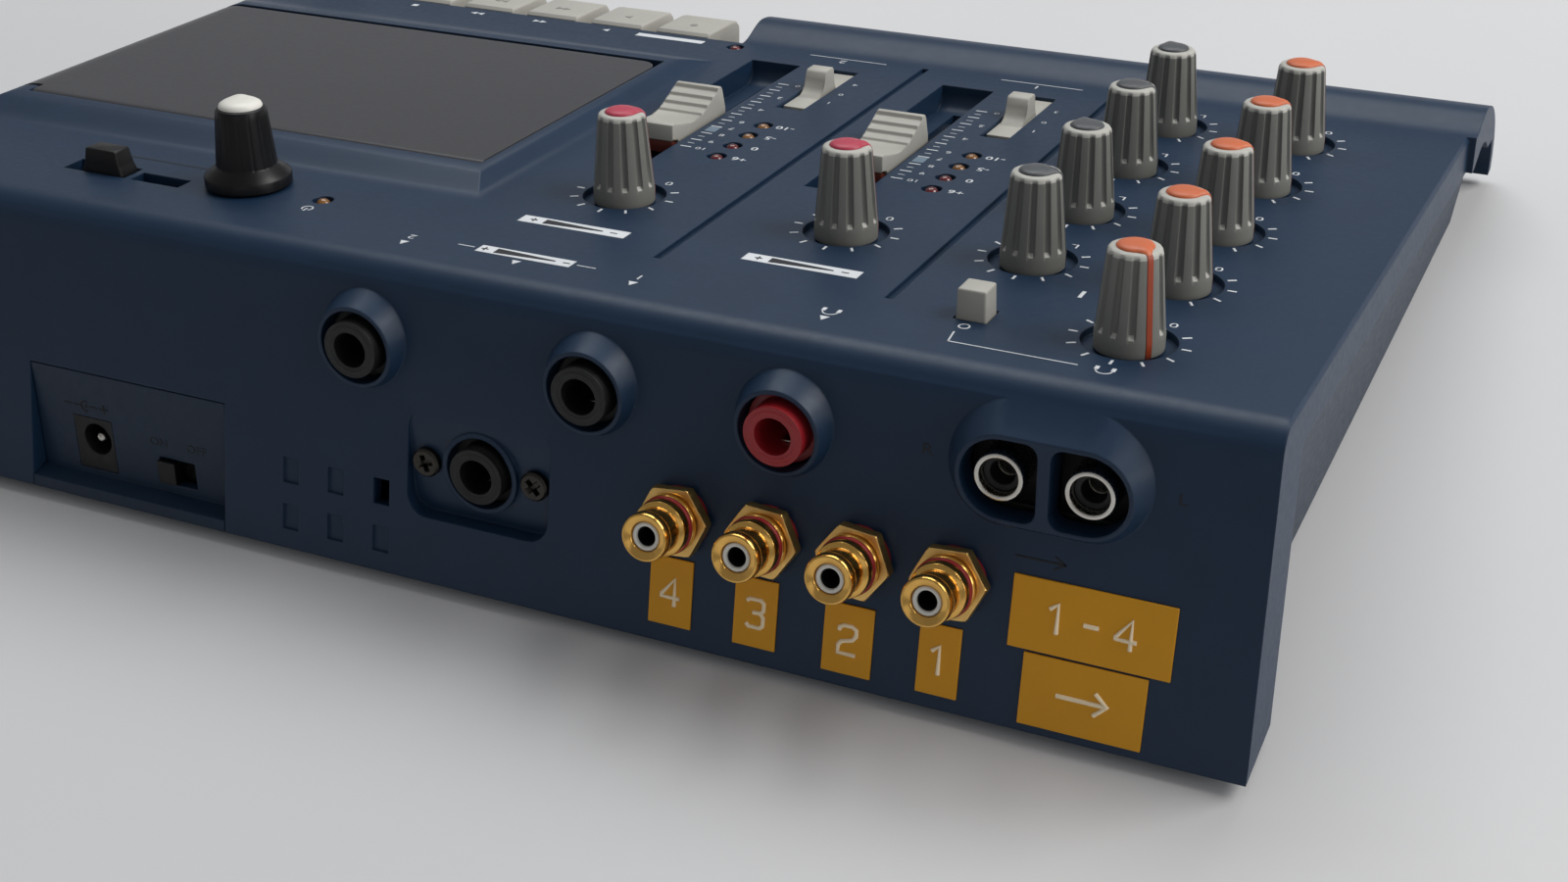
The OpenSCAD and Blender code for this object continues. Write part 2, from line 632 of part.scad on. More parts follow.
// Side outline of the tub, set in by t; the inner one is open at the top and at the rear
module tub_profile(t) {
    intersection() {
        union() {
            hollow_outline(base_gap + t, t > 0 ? 0 : band_rear + gap, 2);
            if (t > 0) translate([lip_v, -40]) square([160, 70]);
        }
        above_outline(foot_h + t);
        tub_front(t);
    }
}
module tray_profile(t) {
    intersection() {
        translate([tray_v + t, deep]) square([30 - 2 * t, tray_n - deep + (t > 0 ? 30 : 0)]);
        above_outline(foot_h + t);
    }
}
module floor_slab() {
    difference() {
        above_outline(foot_h);
        above_outline(foot_h + base_t);
    }
}
module screw_pillar(x, v) {
    difference() {
        translate([x, v, 0]) rod_n(deep, screw_seat(v) + 3.2, pillar_r);
        below(foot_h);
    }
}

module bottom_shell() color(shell_blue) panel() difference() {
    union() {
        difference() {
            union() {
                intersection() {
                    along_x(left_x, right_x) tub_profile(0);
                    along_v(-200, 80) base_section(0);
                }
                along_x(tray_x[0], tray_x[1]) tray_profile(0);
            }
            difference() {
                intersection() {
                    along_x(left_x, right_x) tub_profile(base_t);
                    along_v(-200, 80) base_section(base_t);
                }
                for (x = [tray_x[0], tray_x[1] - base_t])
                    box([x, x + base_t], [-200, -front_l], [deep, tray_n]);
            }
            along_x(tray_x[0] + base_t, tray_x[1] - base_t) tray_profile(base_t);
            box(tray_x, [-200, -front_l + 4], [tray_n, 30]);
        }
        // The tub's front wall carried on up to the panel
        along_x(shell_x + gap, lip_x1 - wall - gap) intersection() {
            difference() {
                tub_front(0);
                tub_front(base_t);
            }
            translate([-200, -base_gap - 2]) square([200, base_gap + 2 - wall - gap]);
        }
        // Floor behind the tub, and the walls that close the gap beside it inside the side bands
        along_x(shell_x + gap, right_x - wall - gap) intersection() {
            rear_strip(wall + gap, band_rear + gap + lap, 0);
            floor_slab();
        }
        for (x = [[shell_x + 2 * gap, left_x + 12], [right_x - 12, right_x - wall - 2 * gap]])
            along_x(x[0], x[1]) intersection() {
                rear_strip(band_rear + gap - base_t, band_rear + gap + 2 * lap, -base_gap - 2);
                above_outline(foot_h + base_t / 2);
            }
        // Power plate and its sill
        along_x(plate_x0, plate_x1) intersection() {
            union() {
                translate([plate_v - base_t, deep]) square([base_t, plate_n - deep]);
                intersection() {
                    rear_strip(0, band_rear, 0);
                    floor_slab();
                }
            }
            above_outline(foot_h);
        }
        for (p = screw_at) screw_pillar(p[0], p[1]);
    }
    for (p = screw_at) translate([p[0], p[1], 0]) {
        rod_n(deep, screw_seat(p[1]), 3.3);
        rod_n(screw_seat(p[1]) - 1, screw_seat(p[1]) + 5, 1.6);
    }
    box(about(dc_x, dc_half), [plate_v - base_t - 0.5, 60], dc_n);
    box(about(power_x, power_half), [plate_v - base_t - 0.5, 60], power_n);
}
dc_half = 4.6;
dc_n = [-51.4, -40.4];
power_half = 4.1;
power_n = [-50.7, -45.4];

// ---- Lid and deck -------------------------------------------------------------------------

// Cross-section of the deck's surface from depth t downward
module lid_half(t) {
    intersection() {
        cross_section(t);
        translate([-200, -30]) square([400, 30 + plateau_h - t]);
    }
}
module cassette_lid() color(lid_grey) panel() {
    barrel = [hinge_at[0], hinge_at[1]];
    difference() {
        intersection() {
            along_n(-10, 10) polygon(round_rect([lid_x0, lid_x1], [lid_v0, barrel[0] + 8], 4));
            along_v(lid_v0, barrel[0]) difference() {
                lid_half(0);
                lid_half(lid_t);
            }
        }
        box([hinge_x1, right_x], [barrel[0] - 2.6, 0], [-10, 10]);
    }
    translate([0, barrel[0], barrel[1]]) {
        rod_x(lid_x0, hinge_x1, hinge_r);
        rod_x(lid_x0 - hinge_pin_l, hinge_x1 + hinge_pin_l, hinge_pin_r);
    }
    // Ribs that press on the cassette
    for (x = [deck_mid - 32, deck_mid + 31]) box([x, x + 1.2], [lid_v0 + 12, hinge_at[0] - 8], [plateau_h - lid_t - 1, plateau_h - lid_t + eps]);
}

deck_n = -well_d;            // upper face of the deck chassis
deck_t = 1.8;
hubs = [deck_mid - hub_pitch / 2, deck_mid + hub_pitch / 2];
capstan_at = [deck_mid + 26, lid_v0 + 14];
capstan_r = 1.2;
flywheel_n = [-20.8, -15.6];
motor_at = [deck_mid - 36.15, hub_v + 14];
motor_n = [-31.6, -21.6];
motor_post_r = 11;
motor_post_a = [70, 150, 230];
head_n = [deck_n + 0.2, deck_n + 1.4];
head_v = lid_v0 - 0.8;
heads_v = lid_v0 + 5.5;      // where the heads' flat sides end and their rounded faces begin
stud_at = [[deck_mid - 27.5, lid_v0 + 4], [deck_mid + 14, lid_v0 + 4]];
stud_r = 1.2;
hub_shaft_r = 1.5;

module deck_chassis() color(steel) panel() {
    difference() {
        union() {
            box([well_x[0] - well_wall - 1, well_x[1] + 1], [well_v[0] - well_wall - 1, well_v[1] + well_wall + 1],
                [deck_n - deck_t, deck_n]);
            for (x = hubs) translate([x, hub_v, 0]) rod_n(deck_n - 2.8, deck_n, 3.2);
            translate([capstan_at[0], capstan_at[1], 0]) rod_n(deck_n - 3.2, deck_n, 3);
            for (a = motor_post_a) translate([motor_at[0] + motor_post_r * cos(a), motor_at[1] + motor_post_r * sin(a), 0])
                rod_n(motor_n[1], deck_n, 2);
        }
        for (x = hubs) translate([x, hub_v, 0]) rod_n(deck_n - 5, deck_n + 1, hub_shaft_r + run);
        translate([capstan_at[0], capstan_at[1], 0]) rod_n(deck_n - 5, deck_n + 1, capstan_r + run);
    }
    // Studs that guide the head plate, and pins that locate the cassette
    for (p = stud_at) translate([p[0], p[1], 0]) {
        rod_n(deck_n - 1, head_n[1] + 0.2, stud_r);
        rod_n(head_n[1] + 0.2, head_n[1] + 1, 2.1);
    }
    for (s = [-1, 1]) translate([deck_mid + s * 36.5, lid_v0 + 11, 0]) rod_n(deck_n - 1, deck_n + 8, 1.4);
}

module head_plate() color(steel) panel() difference() {
    union() {
        box([deck_mid - 30, deck_mid + 20], [head_v, head_v + 10.3], head_n);
        box([deck_mid + 20 - eps, deck_mid + 30], [head_v, head_v + 7.3], head_n);
        translate([roller_at[0], roller_at[1], 0]) rod_n(head_n[0], head_n[1] + 7.4, 1);
    }
    for (p = stud_at) {
        for (d = [0, -head_travel]) translate([p[0], p[1] + d, 0]) rod_n(-20, 0, stud_r + 0.15);
        box(about(p[0], stud_r + 0.15), [p[1] - head_travel, p[1]], [-20, 0]);
    }
}
roller_at = [capstan_at[0], lid_v0 + 4.2];

module tape_heads() color(steel) panel() {
    for (h = [[deck_mid, 6.6], [deck_mid - 20, 4.2]]) difference() {
        union() {
            box([h[0] - h[1], h[0] + h[1]], [heads_v - 4.5, heads_v], [head_n[1], head_n[1] + 9]);
            translate([h[0], heads_v, 0]) intersection() {
                box([-h[1], h[1]], [-eps, 4], [head_n[1], head_n[1] + 9]);
                translate([0, 2 - h[1] * 1.6, 0]) rod_n(head_n[1], head_n[1] + 9, h[1] * 1.6);
            }
        }
        box([h[0] - 0.3, h[0] + 0.3], [heads_v + 1.5, heads_v + 4.5], [-20, 0]);
    }
}

module pinch_roller() color(dark) panel() translate([roller_at[0], roller_at[1], 0]) difference() {
    rod_n(head_n[1] + 0.2, head_n[1] + 7, 5);
    rod_n(head_n[1], head_n[1] + 8, 1 + run);
}

module capstan_flywheel() color(steel) panel() translate([capstan_at[0], capstan_at[1], 0]) {
    rod_n(flywheel_n[0], deck_n + 9, capstan_r);
    difference() {
        rod_n(flywheel_n[0], flywheel_n[1], flywheel_r);
        rod_n(flywheel_n[0] - 1, flywheel_n[0] + 1.4, flywheel_r - 4);
    }
}

module motor() color(steel) panel() translate([motor_at[0], motor_at[1], 0]) difference() {
    rod_n(motor_n[0], motor_n[1], motor_r);
    rod_n(motor_n[1] - 4, motor_n[1] + 1, 1 + run);
}
pulley_n = [-20.8, -15.8];
module motor_pulley() color(gold) panel() translate([motor_at[0], motor_at[1], 0]) {
    rod_n(motor_n[1] - 3.6, pulley_n[1], 1);
    rod_n(pulley_n[0], pulley_n[1], pulley_r);
}

// Belt: a loop round two circles, drawn with its tangents
belt_n = [-18.8, -17.6];
belt_dir = atan2(capstan_at[1] - motor_at[1], capstan_at[0] - motor_at[0]);
belt_span = norm(capstan_at - motor_at);
belt_wrap = acos((pulley_r - flywheel_r) / belt_span);
module belt_outline(r) {
    polygon(concat(arc(capstan_at, flywheel_r + r, belt_dir - belt_wrap, belt_dir + belt_wrap, 40),
        arc(motor_at, pulley_r + r, belt_dir + belt_wrap, belt_dir + 360 - belt_wrap, 16)));
}
module drive_belt() color(dark) panel() along_n(belt_n[0], belt_n[1]) difference() {
    belt_outline(1.2);
    belt_outline(0.3);
}

module spindle(x) {
    color(key_grey) panel() translate([x, hub_v, deck_n]) {
        rotate_extrude() polygon([[0, -4.4], [8, -4.4], [8, -3], [hub_shaft_r, -3], [hub_shaft_r, 0.2],
            [5.2, 0.2], [5.2, 1.2], [2.9, 1.2], [2.9, 5], [1.2, 7.4], [0, 7.4]]);
        for (a = [0, 120, 240]) rotate([0, 0, a]) box([1.5, 4.4], [-0.5, 0.5], [0.7, 4.6]);
    }
}
module supply_spindle() { spindle(hubs[0]); }
module takeup_spindle() { spindle(hubs[1]); }

// ---- Keys ---------------------------------------------------------------------------------

key_top = 0.4;
module key_side() {
    front = key_rear - key_l;
    difference() {
        union() {
            polygon(concat([[key_rear, key_top - key_h], [key_rear, key_top - 0.4], [key_rear - 0.4, key_top]],
                arc([front + 1.6, key_top - 2.2], 1.6, 90, 180, 6), [[front + 0.3, key_top - key_h]]));
            translate([key_rear - eps, key_top - key_h]) square([key_axis[0] - key_rear, 3.4]);
            translate(key_axis) circle(2.9);
        }
        translate(key_axis) circle(key_shaft_r + run);
    }
}
module key_body(k) {
    x = key_x0 + k * key_pitch;
    color(key_grey) panel() {
        along_x(x, x + key_w) intersection() {
            key_side();
            translate([key_rear - key_l - 1, -20]) square([key_l + 1, 30]);
        }
        along_x(x + 2.8, x + key_w - 2.8) key_side();
    }
}
module key_record() { key_body(0); }
module key_play() { key_body(1); }
module key_rewind() { key_body(2); }
module key_forward() { key_body(3); }
module key_stop() { key_body(4); }
module key_pause() { key_body(5); }
module key_shaft() color(steel) panel() translate([0, key_axis[0], key_axis[1]])
    rod_x(key_bracket_x[0][0] - 0.8, key_bracket_x[2][1] + 0.8, key_shaft_r);

// ---- Mixer controls -----------------------------------------------------------------------

module fader_cap(k) {
    x = fader_x(k);
    p = fader_v0 + fader_level * fader_travel;
    low = -1;
    color(key_grey) panel() {
        along_x(x - cap_w / 2, x + cap_w / 2) translate([p, 0]) polygon([[-cap_front, low], [-cap_front, 0.8],
            [-11.6, cap_h - 0.8], [-10.9, cap_h - 0.2], [-9.8, cap_h - 0.2], [-9.5, cap_h - 1.1], [-7.3, cap_h - 1.4],
            [-7.1, cap_h - 2.1], [-4.9, cap_h - 2.4], [-4.7, cap_h - 3.1], [-2.5, cap_h - 3.4], [-2.3, cap_h - 3.9],
            [-0.6, cap_h - 4.1], [0.6, cap_h - 4.1], [8.9, cap_h - 2.1], [cap_l - cap_front, cap_h - 2.7],
            [cap_l - cap_front, low]]);
        box([x - 3, x + 3], [p - 5, p + 5], [-trough_d + 0.5, low + eps]);
        box([x - 0.8, x + 0.8], [p - 3, p + 3], [-12, -trough_d + 0.5 + eps]);
    }
}
module fader_cap_1() { fader_cap(1); }
module fader_cap_2() { fader_cap(2); }

module fader_bodies() color(steel) panel() for (k = [1:2]) translate([fader_x(k), 0, 0]) difference() {
    box([-4.5, 4.5], [fader_v0 - 8, fader_v0 + fader_travel + 8], [board_n, -trough_d - 1.6]);
    box([-1.2, 1.2], [fader_v0 - 4, fader_v0 + fader_travel + 4], [board_n + 1.6, 0]);
}

rec_knob_v = rec_slot_v - 0.8;
module rec_switch(k) {
    x = lamp_x(k);
    slider = [rec_slot_v - rec_slot_l / 2 + 0.4, rec_slot_v + rec_slot_l / 2 - rec_travel - 0.3];
    color(key_grey) panel() {
        box([x - rec_slot_w / 2 + 0.2, x + rec_slot_w / 2 - 0.2], slider, [-wall - 0.3, -0.6]);
        box([x - 4, x + 4], slider, [-wall - 1.4, -wall - 0.2]);
        box([x - 2, x + 2], [rec_knob_v - 2.6, rec_knob_v + 2.6], [-0.7, 4.5]);
        box([x - 1.2, x + 1.2], [rec_knob_v - 1.5, rec_knob_v + 1.5], [-10.5, -wall - 1.3]);
    }
}
module rec_switch_1() { rec_switch(1); }
module rec_switch_2() { rec_switch(2); }

module mono_button() color(key_grey) panel() translate([mono_at[0], mono_at[1], 0]) {
    box([-mono_w / 2, mono_w / 2], [-mono_w / 2, mono_w / 2], [-wall - 0.3, mono_h]);
    box([-3.6, 3.6], [-3.6, 3.6], [-wall - 1.3, -wall - 0.2]);
    box([-1.5, 1.5], [-1.5, 1.5], [-9.4, -wall - 1.2]);
}

power_knob_x = power_x + 2;
module switch_bodies() color(steel) panel() {
    for (k = [1:2]) translate([lamp_x(k), rec_knob_v, 0]) difference() {
        box([-4.5, 4.5], [-8, 6], [board_n, -7.2]);
        box([-1.5, 1.5], [-2, 2 + rec_travel], [-11.5, 0]);
    }
    translate([mono_at[0], mono_at[1], 0]) difference() {
        box([-3.8, 3.8], [-3.8, 3.8], [board_n, -7.2]);
        box([-1.8, 1.8], [-1.8, 1.8], [-12.2, 0]);
    }
    // Body of the power switch, behind the power plate
    difference() {
        box([power_x - 6.5, power_x + 6.5], [16, 22.6], [-49.8, -44]);
        box([power_x - 3.2, power_x + 3.2], [19.4, 24], [-48.8, -47]);
    }
}

module power_switch() color(key_grey) panel() {
    box([power_knob_x - 2, power_knob_x + 2], [plate_v - base_t - 0.6, plate_v + 1], [-50.3, -45.8]);
    box([power_knob_x - 4.4, power_knob_x + 3.6], [plate_v - base_t - 1.6, plate_v - base_t - 0.4], [-50.6, -45]);
    box([power_knob_x - 1, power_knob_x + 1], [19.8, plate_v - base_t - 1.5], [-48.6, -47.2]);
}

knob_foot = -dish_d + 0.3;
pot_n = -8;
// A fluted knob with a pointer ridge over its cap and a flange at its foot
module knob(turn) {
    lean = atan((knob_r - knob_top_r) / (knob_h - 2));
    rotate([0, 0, turn]) {
        difference() {
            union() {
                rod_n(knob_foot, 1.6, knob_r);
                translate([0, 0, 1.6 - eps]) cylinder(h = knob_h - 2.1, r1 = knob_r - 0.15, r2 = knob_top_r);
                translate([0, 0, knob_h - 0.5 - eps]) cylinder(h = 0.5, r1 = knob_top_r, r2 = knob_top_r - 0.4);
            }
            for (i = [1:flutes - 1]) rotate([0, 0, i * 360 / flutes]) translate([0, knob_r + 0.5, 2.2])
                rotate([lean, 0, 0]) cylinder(h = knob_h + 4, r = 1.05, $fn = 24);
        }
        box([-0.6, 0.6], [0, knob_top_r + 0.1], [knob_h - 1, knob_h + 0.3]);
        rod_n(knob_h - 1, knob_h + 0.3, 2.9);
        rod_n(-11.8, knob_foot + eps, shaft_r);
    }
}
module knob_at(p, turn, c) { color(c) panel() translate([p[0], p[1], 0]) knob(turn); }
module knob_level_1() { knob_at(pots[0], 98, knob_grey); }
module knob_level_2() { knob_at(pots[1], 98, knob_grey); }
module knob_level_3() { knob_at(pots[2], 99, knob_grey); }
module knob_level_4() { knob_at(pots[3], 97, knob_grey); }
module knob_pan_1() { knob_at(pots[4], 105, knob_grey); }
module knob_pan_2() { knob_at(pots[5], -150, knob_grey); }
module knob_pan_3() { knob_at(pots[6], 100, knob_grey); }
module knob_pan_4() { knob_at(pots[7], -150, knob_grey); }
module knob_phones() { knob_at(pots[8], 49, knob_grey); }
module knob_trim_1() { knob_at(pots[9], 113, knob_grey); }
module knob_trim_2() { knob_at(pots[10], 113, knob_grey); }

module knob_pitch() color(dark) panel() translate([pitch_x, pitch_v, 0]) rotate([0, 0, -140]) {
    rod_n(0.3, 1.5, skirt_r);
    translate([0, 0, 1.5 - eps]) cylinder(h = 1, r1 = skirt_r, r2 = skirt_r - 1.4);
    difference() {
        translate([0, 0, 2.4]) cylinder(h = 13.6, r1 = 5.75, r2 = 4.6);
        for (i = [0:19]) rotate([0, 0, i * 18 + 9]) translate([0, 5.9, 4])
            rotate([4.8, 0, 0]) cylinder(h = 15, r = 0.6, $fn = 24);
    }
    rod_n(15, 16.3, 3.4);
    box([-0.5, 0.5], [0, 4.7], [15, 16.3]);
    rod_n(-11.8, 0.3 + eps, shaft_r);
}

module pot_body() {
    difference() {
        union() {
            box([-4.75, 4.75], [-5.5, 5.5], [board_n, pot_n]);
            rod_n(pot_n - eps, -wall - 0.1, shaft_r + 1.2);
        }
        rod_n(-12.3, 0, shaft_r + run);
    }
}
module pot_bodies() color(steel) panel()
    for (p = concat(pots, [[pitch_x, pitch_v]])) translate([p[0], p[1], 0]) pot_body();

// ---- Counter ------------------------------------------------------------------------------

wheel_at = [3.9, -8.6];
wheel_r = 5.5;
frame_x = [counter_x[0] - 2, counter_x[1] + 1.9];
reset_stem = [89, 3];
module counter_button() color(key_grey) panel() {
    hull() {
        box([84.3, 93.8], [0.6, 5.5], [-0.2, 0.4]);
        box([85.6, 92.6], [1, 5.1], [4.2, 4.6]);
    }
    box([84.3, 93.8], [0.6, 5.5], [-wall - 1, -0.1]);
    box([84.4, 99.2], [-0.5, 6.6], [-wall - 1.4, -wall - 0.2]);
    translate([reset_stem[0], reset_stem[1], 0]) box([-1, 1], [-1, 1], [-14, -wall - 1.3]);
}
module counter_frame() color(dark) panel() difference() {
    union() {
        for (x = [[frame_x[0], frame_x[0] + 1.2], [frame_x[1] - 1.2, frame_x[1]]])
            box(x, [-2, 9.8], [-17, -wall]);
        box(frame_x, [-2, 9.8], [-17, -15.6]);
        box([frame_x[1] - eps, 92.5], [-0.5, 6.5], [-12, -10.4]);
    }
    translate([0, wheel_at[0], wheel_at[1]]) rod_x(60, 90, 1 + run);
    translate([reset_stem[0], reset_stem[1], 0]) box([-1.2, 1.2], [-1.2, 1.2], [-20, 0]);
}
module counter_wheels() color(dark) panel() translate([0, wheel_at[0], wheel_at[1]]) {
    rod_x(frame_x[0] + 0.1, frame_x[1] - 0.1, 1);
    first = counter_x[0] + 0.2;
    for (i = [0:2]) rod_x(first + i * 3.8, first + 3.4 + i * 3.8, wheel_r);
    rod_x(first, counter_x[1] - 0.3, 3);
}

// ---- Boards, jacks and lamps --------------------------------------------------------------

module main_board() color(board_green) panel() difference() {
    union() {
        box([left_x + 6, fader_x(2) + 8.6], [7.7 - front_l, rear_v - 15.3], [board_n - board_t, board_n]);
        box([power_lamp[0] - 5.7, pitch_x + 7.5], [-12, rear_v - 15.3], [board_n - board_t, board_n]);
    }
    for (p = screw_at) translate([p[0], p[1], 0]) rod_n(-30, 0, pillar_r + 0.4);
}
module jack_board() color(board_green) panel()
    box([left_x + 22, 25], [8, 21.4], [jack_board_n - board_t, jack_board_n]);

// A quarter-inch jack along v, with the front of its nose at the given v
module quarter_jack(x, n, nose_v, low) {
    translate([x, 0, n]) difference() {
        union() {
            box([-6.5, 6.5], [nose_v - 19.5, nose_v - 8.5], [low - n, 6.3]);
            rod_v(nose_v - 8.5 - eps, nose_v, jack_nose_r);
            rod_v(nose_v - 8.5 - eps, nose_v - 4.4, boss_r - 0.4);
        }
        rod_v(nose_v - jack_bore_l, nose_v + 1, jack_bore_r);
    }
}
nose_v = boss_v + 1.2;
module input_jacks() color(dark) panel() {
    quarter_jack(mic2_x, jack_n, nose_v, jack_board_n);
    quarter_jack(mic1_x, jack_n, nose_v, jack_board_n);
    // The guitar jack, held by two screws through a flange
    difference() {
        union() {
            quarter_jack(guitar_x, guitar_n, guitar_v + 2.2, guitar_n - 6.3);
            difference() {
                box(about(guitar_x, 14), [guitar_v - 3.8, guitar_v - 2.2], about(guitar_n, 6));
                translate([guitar_x, 0, guitar_n]) rod_v(10, 40, boss_r - 0.6);
            }
        }
        for (s = [-1, 1]) translate([guitar_x + s * guitar_screw_dx, 0, guitar_n]) rod_v(10, 40, 1.25);
    }
}
module phones_jack() color([0.55, 0.10, 0.12]) panel()
    quarter_jack(phones_jack_x, jack_n, nose_v, jack_board_n);

module line_out_jacks() color(steel) panel() for (s = [-1, 1])
    translate([line_x + s * line_pitch / 2, 0, jack_n]) difference() {
        union() {
            box([-6.8, 6.8], [9, 20], [jack_board_n - jack_n, 6.3]);
            rod_v(20 - eps, boss_v - 0.5, phono_r);
        }
        rod_v(12, 40, phono_bore_r);
    }

module tape_out_jacks() color(gold) panel() tape_places() difference() {
    union() {
        translate([0, 0, -wall - 1.8]) cylinder(h = 1.8, r = 6);
        translate([0, 0, -wall - eps]) cylinder(h = phono_l + wall, r = phono_r);
    }
    translate([0, 0, -1.6]) cylinder(h = 20, r = phono_r - 0.8);
}
module tape_out_nuts() color(gold) panel() tape_places() translate([0, 0, 0.9]) difference() {
    linear_extrude(2.2) polygon([for (i = [0:5]) 6.6 * [cos(60 * i + 30), sin(60 * i + 30)]]);
    translate([0, 0, -1]) cylinder(h = 5, r = phono_r + run);
}
module tape_out_washers() color([0.6, 0.1, 0.1]) panel() tape_places() difference() {
    cylinder(h = 0.9, r = 5.6);
    translate([0, 0, -1]) cylinder(h = 5, r = phono_r + run);
}
module tape_out_inserts() color([0.85, 0.84, 0.8]) panel() tape_places() difference() {
    translate([0, 0, -1.6]) cylinder(h = phono_l + 1.2, r = phono_r - 0.8 - run);
    translate([0, 0, -0.6]) cylinder(h = 20, r = phono_bore_r);
}

module dc_jack() color(dark) panel() difference() {
    union() {
        box(about(dc_x, dc_half - 0.1), [plate_v - 3, plate_v], dc_n + [0.1, -0.1]);
        box(about(dc_x, dc_half - 0.1), [plate_v - 12, plate_v - 3 + eps], [-49, -40.5]);
    }
    translate([dc_x - 0.7, 0, -44.8]) rod_v(plate_v - 9, plate_v + 1, 3.2);
}

// Embossed tape: [x0, x1, w0] on the rear face, w0 measured from the row of the gold outputs
tags = [[-131.5, -105.1, -3.4], [-128.2, -108, 9.6], [-97.6, -90.5, 8], [-82.6, -73.9, 8.2],
    [-65.4, -57.6, 7.4], [-49.7, -41.7, 7.2]];
module label_tags() color([0.75, 0.5, 0.1]) panel() for (t = tags)
    rear_at(t[1], tape_w + t[2]) translate([0, -tape_label_h, 0]) cube([t[1] - t[0], tape_label_h, 0.35]);

lamp_n = -1.2;    // where a lamp's dome begins, in its hole
module lamp(foot) {
    rod_n(foot, -wall - 0.2, lamp_r + 0.7);
    rod_n(-wall - 0.3, lamp_n, lamp_r);
    translate([0, 0, lamp_n]) intersection() {
        sphere(r = lamp_r);
        rod_n(0, 3, lamp_r + 1);
    }
}
module amber_lamps() color([0.9, 0.6, 0.1]) panel() {
    for (i = [2:3]) for (k = [0:1]) translate([lamps[i + 4 * k][0], lamps[i + 4 * k][1], 0]) lamp(board_n);
    translate([power_lamp[0], power_lamp[1], 0]) lamp(board_n);
}
module red_lamps() color([0.7, 0.1, 0.1]) panel() {
    for (i = [0:1]) for (k = [0:1]) translate([lamps[i + 4 * k][0], lamps[i + 4 * k][1], 0]) lamp(board_n);
    translate([record_lamp[0], record_lamp[1], 0]) lamp(-7);
}

// ---- Feet and screws ----------------------------------------------------------------------

foot_at = [[left_x + 23, 6.7 - front_l], [right_x - 23, 6.7 - front_l],
    [left_x + 27, rear_v - 33.8], [right_x - 27, rear_v - 33.8]];
module rubber_feet() color(dark) for (p = foot_at)
    translate([p[0], origin_y + raw_y(p[1], plane_n(p[1], foot_h)), 0]) cylinder(h = foot_h, r = 6.5);

module case_screws() color(steel) panel() for (p = screw_at) translate([p[0], p[1], 0]) {
    seat = screw_seat(p[1]);
    rod_n(seat - 2.2, seat, 2.9);
    rod_n(seat - eps, seat + 9, 1.2);
}
module jack_screws() color(steel) panel() for (s = [-1, 1])
    translate([guitar_x + s * guitar_screw_dx, 0, guitar_n]) {
        rod_v(guitar_v, guitar_v + 1.4, 2.7);
        rod_v(guitar_v - 7, guitar_v + eps, 1.2);
    }

top_shell();
bottom_shell();
cassette_lid();
deck_chassis();
head_plate();
tape_heads();
pinch_roller();
capstan_flywheel();
motor();
motor_pulley();
drive_belt();
supply_spindle();
takeup_spindle();
key_record();
key_play();
key_rewind();
key_forward();
key_stop();
key_pause();
key_shaft();
fader_cap_1();
fader_cap_2();
fader_bodies();
rec_switch_1();
rec_switch_2();
mono_button();
switch_bodies();
knob_level_1();
knob_level_2();
knob_level_3();
knob_level_4();
knob_pan_1();
knob_pan_2();
knob_pan_3();
knob_pan_4();
knob_phones();
knob_trim_1();
knob_trim_2();
knob_pitch();
pot_bodies();
counter_button();
counter_frame();
counter_wheels();
power_switch();
dc_jack();
main_board();
jack_board();
input_jacks();
phones_jack();
line_out_jacks();
tape_out_jacks();
tape_out_nuts();
tape_out_washers();
tape_out_inserts();
label_tags();
amber_lamps();
red_lamps();
rubber_feet();
case_screws();
jack_screws();
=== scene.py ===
"""Looks of the four track cassette recorder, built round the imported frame."""
import math

import bmesh
import bpy
from mathutils import Matrix, Vector


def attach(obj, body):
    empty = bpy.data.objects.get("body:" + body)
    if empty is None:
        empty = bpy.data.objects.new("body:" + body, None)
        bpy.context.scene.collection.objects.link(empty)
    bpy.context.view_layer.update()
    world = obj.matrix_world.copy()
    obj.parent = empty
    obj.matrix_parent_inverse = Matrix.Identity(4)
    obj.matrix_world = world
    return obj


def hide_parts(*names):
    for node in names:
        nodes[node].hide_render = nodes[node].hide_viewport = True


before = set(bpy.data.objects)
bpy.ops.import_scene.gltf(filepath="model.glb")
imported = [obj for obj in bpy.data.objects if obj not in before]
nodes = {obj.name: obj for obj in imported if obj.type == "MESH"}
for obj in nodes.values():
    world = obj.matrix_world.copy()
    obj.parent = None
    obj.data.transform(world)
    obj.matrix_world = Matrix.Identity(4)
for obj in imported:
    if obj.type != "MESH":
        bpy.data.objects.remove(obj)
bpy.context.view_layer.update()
scene = bpy.context.scene

# ---- Frames, in millimetres of the panel: x, v toward the rear, n out of the panel ---------
TILT = math.radians(12.5)
LEAN = math.radians(10)
ORIGIN = (0, 49.33926, 49.88162)
REAR_V = 21.8
PANEL = Matrix.Scale(0.001, 4) @ Matrix.Translation(ORIGIN) @ Matrix.Rotation(TILT, 4, "X")
WORLD = Matrix.Scale(0.001, 4)


def at(x, v, n=0.0, turn=0.0):
    """Frame on the panel, turned counter-clockwise as seen from above."""
    return Matrix.Translation((x, v, n)) @ Matrix.Rotation(math.radians(turn), 4, "Z")


def on_rear(x, w, z=0.0):
    """Frame on the leaning rear face: x to the viewer's right, y up the face, z outward."""
    s, c = math.sin(LEAN), math.cos(LEAN)
    return Matrix(((-1, 0, 0, x), (0, -s, c, REAR_V + w * s + z * c), (0, c, s, -w * c + z * s),
                   (0, 0, 0, 1)))


